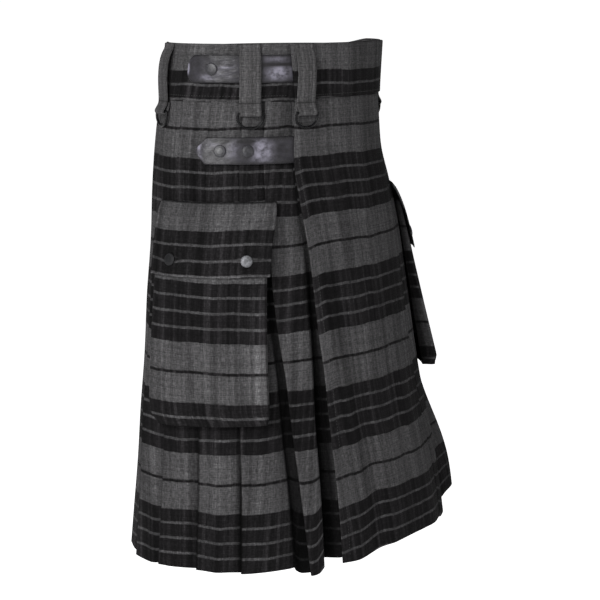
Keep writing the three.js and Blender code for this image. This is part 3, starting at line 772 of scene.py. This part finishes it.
def edge_lift(share, drop):
    return read_table(APRON_STAND, drop, "lift") * rise(-share, LIFT_START, LIFT_FULL)


def apron_out(share, drop):
    fade = smooth_step((1 - np.abs(share)) / WAVE_FADE)
    swell = 0.5 + 0.5 * np.cos(share * WAVE_LENGTH + WAVE_START)
    wave = read_table(APRON_STAND, drop, "wave") * swell * fade
    return read_table(APRON_STAND, drop, "out") + edge_lift(share, drop) + wave


APRON_FOLD_GAP = 0.6
APRON_TURN_BACK = 5
TURN_BACK_SINK = 0.4
EDGE_DIP = 4.0
APRON_RISE = 5


def add_over_apron():
    """The apron's face, its edge folded under and its way back into the hollow on the left."""
    drop = SKIRT_DROPS
    edge, valley, valley_in = read_columns(OPENING, drop, "apron valley valley_in")
    shares = stretches((-1, -0.86, 8), (-0.82, 0.92, 62), (0.94, 1, 4))
    layer = APRON_WALL + APRON_FOLD_GAP
    edge_out = apron_out(1.0, drop)
    turn_back = edge - APRON_TURN_BACK
    tail = [
        (edge, edge_out),
        (edge, edge_out - layer),
        (turn_back, edge_out - layer - TURN_BACK_SINK),
        (turn_back, edge_out - 2 * layer - TURN_BACK_SINK),
        (valley, -valley_in),
        opening_seam(drop),
    ]
    tail_angle, tail_out = divided(tail, [3, 5, 3, 8, 5])
    face_angle = shares[None, :] * edge[:, None]
    face_drops = spread(drop, face_angle)
    face_out = apron_out(np.broadcast_to(shares[None, :], face_angle.shape), face_drops)
    fade = rise(1 - np.abs(shares), 0, 0.12)[None, :]
    face_out = face_out + creases_at(APRON_CREASES, face_angle, face_drops) * fade
    angle = np.concatenate([face_angle, tail_angle[:, 1:]], axis=1)
    out = np.concatenate([face_out, tail_out[:, 1:]], axis=1)
    drops = spread(drop, angle)
    grid = softened(body_point(angle, drops, out), 1)
    sway = hem_sway(angle, drops, APRON_SWAY)
    lifted = APRON_RISE * rise(drops, HEM_TOP, KILT_DROP) * rise(angle, -20, -6)
    grid[..., 2] += np.maximum(sway, 0) + lifted
    dip = EDGE_DIP * rise(-angle, edge[:, None] - 5, edge[:, None]) * rise(drops, 110, 170)
    pattern = drops + SKIRT_PATTERN - dip - sway * SWAY_IN_PATTERN
    add_cloth("apron_over", "over_apron", grid, APRON_WALL, pattern,
              light=fold_light(out, APRON_FOLD_START))


def add_under_apron():
    drop = SKIRT_DROPS
    valley, depth = read_columns(OPENING, drop, "valley valley_in")
    inset, free = read_columns(UNDER_APRON, drop, "inset free_edge")
    seam_angle, seam_out = opening_seam(drop)
    stops = [(-seam_angle, seam_out), (-valley, -depth), (4 - valley, -inset), (free, -inset)]
    angle, out = divided(stops, [5, 6, 40])
    drops = spread(drop, angle)
    grid = softened(body_point(angle, drops, out), 1)
    add_cloth("apron_under", "under_apron", grid, CLOTH_WALL, drops + SKIRT_PATTERN,
              light=fold_light(out, UNDER_FOLD_START))


# Waistband

# Each part's two edges as angles, its start again at the seam below, and how far it stands off
# the body. The two inner parts reach down behind the skirt's top.
BANDS = table(
    "name node held start seam_start end out foot",
    ("band_over", "waistband_over_apron", "laid", -36.6, -32.2, 37.3, 1.6, 64.8),
    ("band_wrap", "waistband_wrap", "stretched", 31.2, 31.2, 331, -1.7, 68),
    ("band_under", "waistband_under_apron", "laid", -28.5, -28.5, 21.8, -1.7, 68),
)
BAND_ROLL = 1.2
BAND_COLUMN = 1.2
BACK_DIP = 7
BACK_DIP_MIDDLE = 150


def back_dip(angle):
    """How much lower the rim sits towards the wearer's left back."""
    return BACK_DIP * rise(np.cos((np.asarray(angle) - BACK_DIP_MIDDLE) * TURN), 0.2, 0.65)


def band_puff(angle, drop):
    return 0.35 * np.sin(angle * 0.21 + 1.3) * np.sin(drop * 0.05)


def add_waistband():
    for band in BANDS:
        drop = stretches((0.2, 3, 4), (5, 60, 24), (62, band["foot"], 4))[:, None]
        start = band["start"] + (band["seam_start"] - band["start"]) * drop / BAND_HEIGHT
        columns = int((band["end"] - band["start"]) / BAND_COLUMN)
        angle = start + (band["end"] - start) * np.linspace(0, 1, columns)[None, :]
        start, drop = np.broadcast_arrays(start, drop + 0 * angle)
        out = band["out"] + band_puff(angle, drop)
        if band["name"] == "band_over":
            out = out + edge_lift(-angle / start, drop)
        grid = body_point(angle, drop, out)
        grid[..., 2] -= back_dip(angle) * (1 - drop / BAND_HEIGHT)
        roll = rounded_edge(np.minimum(drop, band["foot"] + 0.2 - drop), BAND_ROLL, 0.12)
        add_cloth(band["name"], band["node"], grid, BAND_WALL, drop + BAND_PATTERN,
                  roll)


# Pockets and flaps

# Dents and swells, as shares of the front panel.
POCKET_SPOTS = table(
    "across down wide tall amount",
    (0.16, 0.40, 0.09, 0.20, -1.1),
    (0.55, 0.55, 0.22, 0.30, 1.3),
    (0.84, 0.72, 0.10, 0.22, 1.1),
    (0.36, 0.82, 0.12, 0.14, -1.0),
)
POCKET_FULLNESS = 1.2
LEFT_POCKET_RISE = 13
FOOT_ROUND = 4.5
FOOT_ROUND_REACH = 13
FLOOR_STEPS = 6


def pocket_bulge(across, down):
    """The front panel's soft fullness."""
    full = np.sin(np.clip(across, 0, 1) * math.pi) ** 0.6 * np.sin(np.clip(down, 0, 1) * math.pi) ** 0.7
    return POCKET_FULLNESS * full + spots(POCKET_SPOTS, across, down)


def add_pocket(side_name, side):
    """A front panel with bellows sides, closed at its foot."""
    top = POCKET[0]["drop"]
    foot = POCKET[-1]["drop"]
    panel_drops = np.linspace(top, foot, 60)
    front, back, stand = read_columns(POCKET, panel_drops, "front back stand")
    stand = stand - POCKET_WALL / 2
    seat = np.ones_like(panel_drops)
    angle, out = divided([(front, seat), (front, stand), (back, stand), (back, seat)], [7, 56, 7])
    drops = spread(panel_drops, angle)
    across = (angle - front[:, None]) / (back - front)[:, None]
    down = (drops - top) / (foot - top)
    share = (out - 1) / np.maximum(stand[:, None] - 1, 0.1)
    shape = pocket_bulge(across, down) - FOOT_ROUND * rise(drops, foot - FOOT_ROUND_REACH, foot)
    angle = angle * side
    out = out + shape * smooth_step(share) + creases_at(CREASES, angle, drops)
    grid = softened(body_point(angle, drops, out), 2)
    lifted = LEFT_POCKET_RISE * smooth_step(down * 1.1) if side > 0 else 0 * down
    grid[..., 2] += lifted
    t = np.arange(1, FLOOR_STEPS + 1)[:, None] / FLOOR_STEPS
    floor = body_point(angle[-1] + 0 * t, drops[-1] - 0.4 * t, out[-1] * (1 - t) + t)
    floor[..., 2] += lifted[-1]
    grid = np.concatenate([grid, floor])
    across = np.concatenate([across, across[-1] + 0 * t])
    pattern = np.concatenate([drops, drops[-1] + stand[-1] * t]) + POCKET_PATTERN
    pattern = pattern + POCKET_TILT * np.clip(across, 0, 1)
    # Light: a painted highlight on a strip near the front edge, a dark line at the front seam, and painted
    # shade on the bellows sides.
    strip = between(across, 0.012, 0.032, 0.08, 0.125)
    seam = np.exp(-(((across - 0.008) / 0.006) ** 2))
    light = 1 + 0.55 * strip - 0.7 * seam
    light[:panel_drops.size] *= 0.22 + 0.78 * rise(share, 0.2, 1)
    add_cloth(f"cargo_pocket_{side_name}", f"pocket_{side_name}", grid, POCKET_WALL, pattern,
              light=light)


SNAP_FRONT = 55.7
SNAP_BACK = 89.7
SNAP_DROP = 249
SNAP_PULL = 1.1
PATTERN_PULL = 3.5

# How the snaps pull the flap in, in angles and drops.
PUCKERS = table(
    "across down wide tall amount",
    (SNAP_FRONT, SNAP_DROP, 4.6, 10, 0.35),
    (SNAP_BACK, SNAP_DROP, 4.6, 10, 1),
)


def add_flap(side_name, side):
    """A flap with rounded edges, pulled in at its snaps, with painted shade in the snaps' dents, a painted
    shadow along its head and a paler foot.
    """
    drop = stretches((183, 196, 10), (198.5, 264, 30), (265, 268, 4))
    front, back = read_columns(FLAP, drop, "front back")
    shares = stretches((0, 0.03, 4), (0.05, 0.95, 56), (0.97, 1, 4))
    angle = front[:, None] + (back - front)[:, None] * shares[None, :]
    drops = spread(drop, angle)
    pucker = spots(PUCKERS, angle, drops)
    out = read_table(FLAP, drops, "stand") - FLAP_WALL / 2 - SNAP_PULL * pucker
    angle = angle * side
    grid = body_point(angle, drops, out + creases_at(CREASES, angle, drops))
    along = np.minimum(shares, 1 - shares)[None, :] * 60
    down = np.minimum(drop - drop[0], drop[-1] - drop)[:, None]
    roll = rounded_edge(np.minimum(along, down), 1.0, 0.15)
    pattern = drops + FLAP_PATTERN - PATTERN_PULL * pucker * np.sign(drops - SNAP_DROP + 3)
    # Light: painted shade in the snaps' dents, a painted shadow along the head, and a paler foot.
    head = 1 - rise(drops, 184.5, 186.5)
    light = 1 - 0.45 * pucker + 0.5 * rise(drops, 264.5, 266.5) - 0.75 * head
    add_cloth(f"flap_{side_name}", f"pocket_flap_{side_name}", grid, FLAP_WALL, pattern,
              roll, light)


# Leather straps

STRAPS = table(
    "name middle half start end seat tip tip_length",
    ("strap_upper", 29.3, 16.2, 31.8, 91.2, 0.4, "round", 11),
    ("strap_lower", 124.4, 15.8, 29.8, 80.5, 1.3, "point", 12),
)
STRAP_EDGE = 0.9

# Painted sheen and glints on the leather (above 0), and painted shade where it is duller (below 0), in angles
# and drops.
STRAP_SHEEN = table(
    "across down wide tall amount",
    (-41, 34, 5.0, 8, 1.0),
    (-43, 17, 4.6, 3.4, 0.55),
    (-43, 24.5, 8, 1.6, -0.7),
    (-78, 40, 3.4, 3.0, 0.5),
    (-68, 27.5, 4.4, 1.2, 0.5),
    (-71, 34, 9, 9, 0.12),
    (-90.6, 29, 0.8, 5.5, 2.2),
    (-48, 124, 3.2, 14, 0.95),
    (-43.6, 126, 2.2, 13, 0.35),
    (-61, 122, 2.6, 12, 0.42),
    (-71.5, 116, 3.6, 4, 0.30),
    (-78.6, 118, 1.0, 5.0, 1.3),
    (-77.6, 131, 1.0, 4.0, 0.8),
    (-53.8, 113.5, 4.6, 1.6, -0.5),
    (-67.2, 113.5, 4.6, 1.6, -0.5),
)


def strap_ripple(angle, up):
    return 0.16 * np.sin(angle * 0.9) * np.cos(up * 2.2)


def add_strap(strap):
    """A strap with rounded edges, slightly domed, thinned to its end."""
    turn = strap["end"] - strap["start"]
    per_degree = float(arc_per_degree(strap["end"], strap["middle"]))
    tip = strap["tip_length"] / per_degree / turn
    body = np.linspace(0, 1 - tip, 100)
    ends = np.linspace(0, 1, 16)[1:]
    end_width = np.sqrt(1 - (0.94 * ends) ** 2) if strap["tip"] == "round" else 1 - 0.84 * ends
    shares = np.concatenate([body, 1 - tip + tip * ends])
    widths = np.concatenate([np.ones_like(body), end_width])
    up = stretches((-1, -0.9, 5), (-0.86, 0.86, 26), (0.9, 1, 5))[:, None]
    angle = -(strap["start"] + turn * shares)[None, :] + 0 * up
    drop = strap["middle"] + up * strap["half"] * widths[None, :]
    grid = body_point(angle, drop, strap["seat"] + STRAP_WALL / 2 + strap_ripple(angle, up))
    edge = (1 - np.abs(up)) * strap["half"] * widths[None, :]
    far = (1 - shares)[None, :] * turn * per_degree
    roll = rounded_edge(np.minimum(edge, far), STRAP_EDGE, 0.2)
    # Painted sheen: a little everywhere, more at the listed spots, and faded at the long edges, which stay
    # dark.
    sheen = np.clip(0.06 + spots(STRAP_SHEEN, angle, drop), 0, 2) * (1 - 0.8 * rise(np.abs(up), 0.82, 0.92))
    piece = cloth_wall(f"leather_{strap['name']}", grid, STRAP_WALL, drop, roll, sheen)
    finish_piece(piece, GARMENT, [strap["name"]], LEATHER)


# Belt loops

LOOP_WIDTH = 26
LOOP_WALL = 1.9
LOOP_RIB_TURNS = 17
LOOP_SEAM_DROP = 69
RING_WIRE = 2.6
RING_BAR_DROP = 80.6
RING_BAR_OUT = 5
EYE_RADIUS = RING_WIRE / 2 + 0.9 + 1

# The strip down to the ring's bar, and its tail behind, as (out, drop) pairs.
LOOP_BOW = [(1.4, 0.6), (1.5, 7), (4.4, 12), (6.8, 20), (7.8, 32), (7.3, 45), (5.8, 57), (4.6, 66), (4.2, 72)]
LOOP_TAIL = [(1.5, 76), (1.3, 70)]
LOOPS = table(
    "name angle seat lean",
    ("right_front", -27.7, 6.5, 3.5),
    ("right_side", -53.6, 0, 0),
    ("right_back", -110, 0, 0),
    ("left_side", 64, 0, 0),
    ("left_back", 110, 0, 0),
)


def loop_line():
    """The strip's middle line as (out, drop) rows, finely cut and rounded."""
    turns = (40 - 35 * np.arange(8)) * TURN
    eye = [RING_BAR_OUT + EYE_RADIUS * np.cos(turns), RING_BAR_DROP - EYE_RADIUS * np.sin(turns)]
    line = np.concatenate([LOOP_BOW, np.stack(eye, axis=1), LOOP_TAIL])
    finer = np.arange(4 * len(line) - 3) / 4
    fine = np.stack([np.interp(finer, np.arange(len(line)), line[:, k]) for k in (0, 1)], axis=1)
    for _ in range(3):
        fine[1:-1] = 0.25 * fine[:-2] + 0.5 * fine[1:-1] + 0.25 * fine[2:]
    return fine


def loop_frame(place):
    """The middle of a loop's bar, and the ways along and out of the cloth there."""
    centre = body_point(place["angle"], RING_BAR_DROP, 0)
    before = body_point(place["angle"] - 1, RING_BAR_DROP, 0)
    after = body_point(place["angle"] + 1, RING_BAR_DROP, 0)
    along = after - before
    along[2] = 0
    along = along / np.linalg.norm(along)
    outward = np.array([along[1], -along[0], 0])
    return centre, along, outward


def add_loop(place):
    centre, along, outward = loop_frame(place)
    line = loop_line()
    middle = body_point(place["angle"], line[:, 1], line[:, 0] + place["seat"]) - centre
    reach = middle @ outward
    across = stretches((-1, -0.9, 4), (-0.86, 0.86, 31), (0.9, 1, 4))
    side = across * LOOP_WIDTH / 2
    lean = -place["lean"] * np.clip(1 - line[:, 1] / RING_BAR_DROP, 0, 1)
    ribs = 0.2 * np.cos(across * LOOP_RIB_TURNS)
    grid = centre[None, None, :] + (reach[:, None, None] + ribs[None, :, None]) * outward
    grid = grid + (side[None, :] + lean[:, None])[..., None] * along
    dip = back_dip(place["angle"]) * np.clip(1 - line[:, 1] / BAND_HEIGHT, 0, 1)
    grid[..., 2] = (centre[2] + middle[:, 2] - dip)[:, None]
    edge = (1 - np.abs(across)) * LOOP_WIDTH / 2
    roll = np.broadcast_to(rounded_edge(edge, 0.8, 0.25)[None, :], grid.shape[:2])
    steps = np.linalg.norm(np.diff(grid[:, 0], axis=0), axis=-1)
    pattern = np.concatenate([[0], np.cumsum(steps)])[:, None] + np.zeros(grid.shape[1])
    # Light: a dark line near each long edge, painted shade on the rolled edges, painted light on the ribs'
    # crests and painted shade between them, and a dark line at the seam.
    light = 1 - 0.4 * np.exp(-(((np.abs(across) - 0.8) / 0.06) ** 2)) - 0.3 * (np.abs(across) > 0.93)
    light = light + 0.07 * np.cos(across * LOOP_RIB_TURNS)
    seam = np.exp(-(((line[:, 1] - LOOP_SEAM_DROP) / 1.2) ** 2))
    light = light[None, :] * (1 - 0.6 * seam[:, None])
    piece = cloth_wall(f"loop_{place['name']}", grid, LOOP_WALL, pattern, roll, light)
    finish_piece(piece, GARMENT, [f"belt_loop_{place['name']}"], PLAIN)


# Sewing thread: rows of raised stitches on the outer surface.

STITCH_PITCH = 3.6
STITCH_LENGTH = 2.3
STITCH_WIDE = 0.62
STITCH_HIGH = 0.35
STITCH_SINK = 0.2
FLAP_ROW = 189.5
APRON_ROW_INSET = 2.4
BAND_ROWS = (4, 61)
STRAP_ROW = 0.82
STITCH_ENDS = table("share wide high", (0, 0.5, 0.15), (0.25, 1, 1), (0.75, 1, 1), (1, 0.5, 0.15))


def add_stitches(name, angle, drop, out, wide=STITCH_WIDE):
    """One row of stitches along a path on the body, as small rounded bars."""
    points = body_point(angle, drop, out)
    outward = body_point(angle, drop, np.asarray(out) + 1) - points
    run = np.concatenate([[0], np.cumsum(np.linalg.norm(np.diff(points, axis=0), axis=1))])

    def at(place, rows):
        return np.array([np.interp(place, run, rows[:, k]) for k in range(3)])

    corners = []
    faces = []
    for start in np.arange(STITCH_PITCH * 0.3, run[-1] - STITCH_LENGTH, STITCH_PITCH):
        n = at(start + STITCH_LENGTH / 2, outward)
        side = np.cross(n, at(start + STITCH_LENGTH, points) - at(start, points))
        side = side / np.linalg.norm(side) * wide / 2
        low = n * STITCH_SINK
        base = len(corners)
        for row in STITCH_ENDS:
            p = at(start + STITCH_LENGTH * row["share"], points)
            across = side * row["wide"]
            top = n * STITCH_HIGH * row["high"]
            corners += [p - across - low, p + across - low, p + across * 0.6 + top, p - across * 0.6 + top]
        for k in range(base, base + 12, 4):
            for c in range(4):
                d = (c + 1) % 4
                faces.append([k + c, k + d, k + 4 + d, k + 4 + c])
        faces.append([base + 3, base + 2, base + 1, base])
        faces.append([base + 12, base + 13, base + 14, base + 15])
    finish_piece(mesh_object(name, corners, faces), GARMENT, [], THREAD)


def add_sewing():
    """Rows on the flaps' heads, the apron's edge, the waistband and both edges of each strap."""
    line = np.linspace(0, 1, 240)
    for side_name, side in SIDES:
        drop = np.full_like(line, FLAP_ROW)
        front, back, stand = read_columns(FLAP, drop, "front back stand")
        angle = side * (front + (back - front) * (0.02 + 0.96 * line))
        add_stitches(f"stitches_flap_{side_name}", angle, drop, stand + creases_at(CREASES, angle, drop))
    drop = 70 + 532 * line
    edge = read_table(OPENING, drop, "apron")
    share = APRON_ROW_INSET / edge - 1
    add_stitches("stitches_apron_edge", share * edge, drop, apron_out(share, drop) + APRON_WALL / 2, 0.5)
    for row_drop in BAND_ROWS:
        drop = np.full_like(line, row_drop)
        start = -36 + 4.2 * row_drop / BAND_HEIGHT
        angle = start + (37 - start) * line
        out = 3.0 + edge_lift(-angle / (start - 0.6), drop) + band_puff(angle, drop)
        add_stitches(f"stitches_band_over_{row_drop}", angle, drop, out)
        angle = 38.5 + (324.5 - 38.5) * line
        dipped = drop + back_dip(angle) * (1 - drop / BAND_HEIGHT)
        add_stitches(f"stitches_band_wrap_{row_drop}", angle, dipped, band_puff(angle, drop) - 0.3)
    for strap in STRAPS:
        for name, up in (("upper", -STRAP_ROW), ("lower", STRAP_ROW)):
            drop = strap["middle"] + up * strap["half"] + 0 * line
            angle = -(strap["start"] + 1 + (strap["end"] - strap["start"] - 7) * line)
            out = strap["seat"] + STRAP_WALL + strap_ripple(angle, up)
            add_stitches(f"stitches_{strap['name']}_{name}", angle, drop, out, 0.45)


# The D-rings: a bar in the loop's fold, and a bow reached from it by two short shoulders.

RING_HALF_WIDTH = 15
RING_SHOULDER = 6.3
RING_FOOT = 18
RING_BAR_RADIUS = 1.35
RING_BOW_RADIUS = 1.6
RING_FOOT_OUT = 2.3
RING_FOOT_DROP = 96.5
WIRE_SIDES = 12


def add_ring(place):
    """A D-shaped ring of round wire, thicker in its bow."""
    centre, along, outward = loop_frame(place)
    ends = []
    for out, drop in ((RING_BAR_OUT, RING_BAR_DROP), (RING_FOOT_OUT, RING_FOOT_DROP)):
        spot = body_point(place["angle"], drop, out + place["seat"]) - centre
        ends.append(outward * (spot @ outward) + np.array([0, 0, spot[2]]))
    down = ends[1] - ends[0]
    down = down / np.linalg.norm(down)
    bar = np.linspace(-1, 1, 24)[:-1]
    side = np.linspace(0, 1, 8)[:-1]
    bow = np.linspace(0, math.pi, 44)[:-1]
    across = np.concatenate([bar, np.ones(7), np.cos(bow), -np.ones(7)]) * RING_HALF_WIDTH
    bow_deep = RING_SHOULDER + (RING_FOOT - RING_SHOULDER) * np.sin(bow)
    deep = np.concatenate([0 * bar, side * RING_SHOULDER, bow_deep, (1 - side) * RING_SHOULDER])
    for _ in range(3):
        across = 0.25 * np.roll(across, 1) + 0.5 * across + 0.25 * np.roll(across, -1)
        deep = 0.25 * np.roll(deep, 1) + 0.5 * deep + 0.25 * np.roll(deep, -1)
    line = centre + ends[0] + across[:, None] * along + deep[:, None] * down
    tangent = np.roll(line, -1, axis=0) - np.roll(line, 1, axis=0)
    tangent = tangent / np.linalg.norm(tangent, axis=1, keepdims=True)
    face = np.cross(along, down)
    edge = np.cross(tangent, face)
    radius = RING_BAR_RADIUS + (RING_BOW_RADIUS - RING_BAR_RADIUS) * rise(deep, 2, 6)
    turn = (np.arange(WIRE_SIDES) * 2 * math.pi / WIRE_SIDES)[None, :, None]
    rim = radius[:, None, None] * (np.cos(turn) * edge[:, None] + np.sin(turn) * face)
    here = np.arange(len(line) * WIRE_SIDES).reshape(-1, WIRE_SIDES)
    ahead = np.roll(here, -1, axis=0)
    faces = np.stack([here, ahead, np.roll(ahead, -1, axis=1), np.roll(here, -1, axis=1)], axis=-1)
    points = (line[:, None] + rim).reshape(-1, 3)
    ring = mesh_object(f"d_ring_{place['name']}", points, faces.reshape(-1, 4))
    finish_piece(ring, f"ring_{place['name']}_body", [f"ring_{place['name']}"], RING_METAL)


def dress_snaps():
    """The snaps keep their solids, each with its own metal."""
    for name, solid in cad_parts.items():
        if "_snap_" not in name:
            continue
        material = STRAP_SNAP
        if name.startswith("pocket"):
            # The pocket's back snaps take a darker metal as painted shade.
            material = SHADED_SNAP if name.endswith("back") else POCKET_SNAP
        solid.data.materials.clear()
        solid.data.materials.append(material)


# Studio: a pale floor, soft lights, and the camera at the photo's angle.

CAMERA_PLACE = (-1.8722, -1.3961, 0.0962)
CAMERA_BACK = (-0.8090, -0.5878)
CAMERA_PITCH = 9.48
CAMERA_LENS = 112.1
FLOOR_HEIGHT = -1.10
FLOOR_HALF = 400.0
FLOOR_SHADE = (0.86, 0.86, 0.86, 1)
WHITE = (1, 1, 1, 1)
FLOOR_GLOW = 0.8
WORLD_LIGHT = 0.3
KEY_LIGHT = dict(place=(-2.55, -0.70, 0.62), size=1.5, power=160, target=(0, 0, -0.28))
STRIP_LIGHT = dict(place=(-0.63, -2.21, 0.30), size=0.45, power=11, target=(0, 0, -0.05))
STRIP_HEIGHT = 0.95


def add_camera():
    data = bpy.data.cameras.new("camera")
    data.sensor_width = 36
    data.lens = CAMERA_LENS
    data.clip_end = 2000
    camera = add_object("camera", data)
    camera.location = CAMERA_PLACE
    heading = math.atan2(CAMERA_BACK[0], -CAMERA_BACK[1])
    camera.rotation_euler = (math.pi / 2 - CAMERA_PITCH * TURN, 0, heading)
    bpy.context.scene.camera = camera


def area_light(name, place, size, power, target):
    """A soft round light at a place, turned to its target."""
    data = bpy.data.lights.new(name, "AREA")
    data.shape = "DISK"
    data.size = size
    data.energy = power
    light = add_object(name, data)
    light.location = place
    away = np.array(target) - np.array(place)
    heading = math.atan2(away[0], -away[1])
    tilt = math.atan2(math.hypot(away[0], away[1]), -away[2])
    light.rotation_euler = (tilt, 0, heading + math.pi)
    return data


def add_studio():
    signs = ((-1, -1), (1, -1), (1, 1), (-1, 1))
    corners = [(FLOOR_HALF * x, FLOOR_HALF * y, FLOOR_HEIGHT) for x, y in signs]
    mesh = bpy.data.meshes.new("floor")
    mesh.from_pydata(corners, [], [(0, 1, 2, 3)])
    t = Tree("pale_floor")
    t.put(t.shader, {"Base Color": FLOOR_SHADE, "Roughness": 0.9,
                     "Emission Color": WHITE, "Emission Strength": FLOOR_GLOW})
    mesh.materials.append(t.material)
    add_object("floor", mesh)
    world = bpy.data.worlds.new("studio")
    world.use_nodes = True
    background = world.node_tree.nodes["Background"].inputs
    background["Color"].default_value = WHITE
    background["Strength"].default_value = WORLD_LIGHT
    bpy.context.scene.world = world
    bpy.context.scene.view_settings.view_transform = "Standard"
    area_light("key", **KEY_LIGHT)
    strip = area_light("strip", **STRIP_LIGHT)
    strip.shape = "RECTANGLE"
    strip.size_y = STRIP_HEIGHT


add_camera()
add_waistband()
add_over_apron()
add_under_apron()
for each_name, each_side in SIDES:
    add_skirt_side(each_name, each_side)
for each_name, each_side in SIDES:
    add_pocket(each_name, each_side)
    add_flap(each_name, each_side)
for each_strap in STRAPS:
    add_strap(each_strap)
for each_loop in LOOPS:
    add_loop(each_loop)
    add_ring(each_loop)
add_sewing()
dress_snaps()
add_studio()
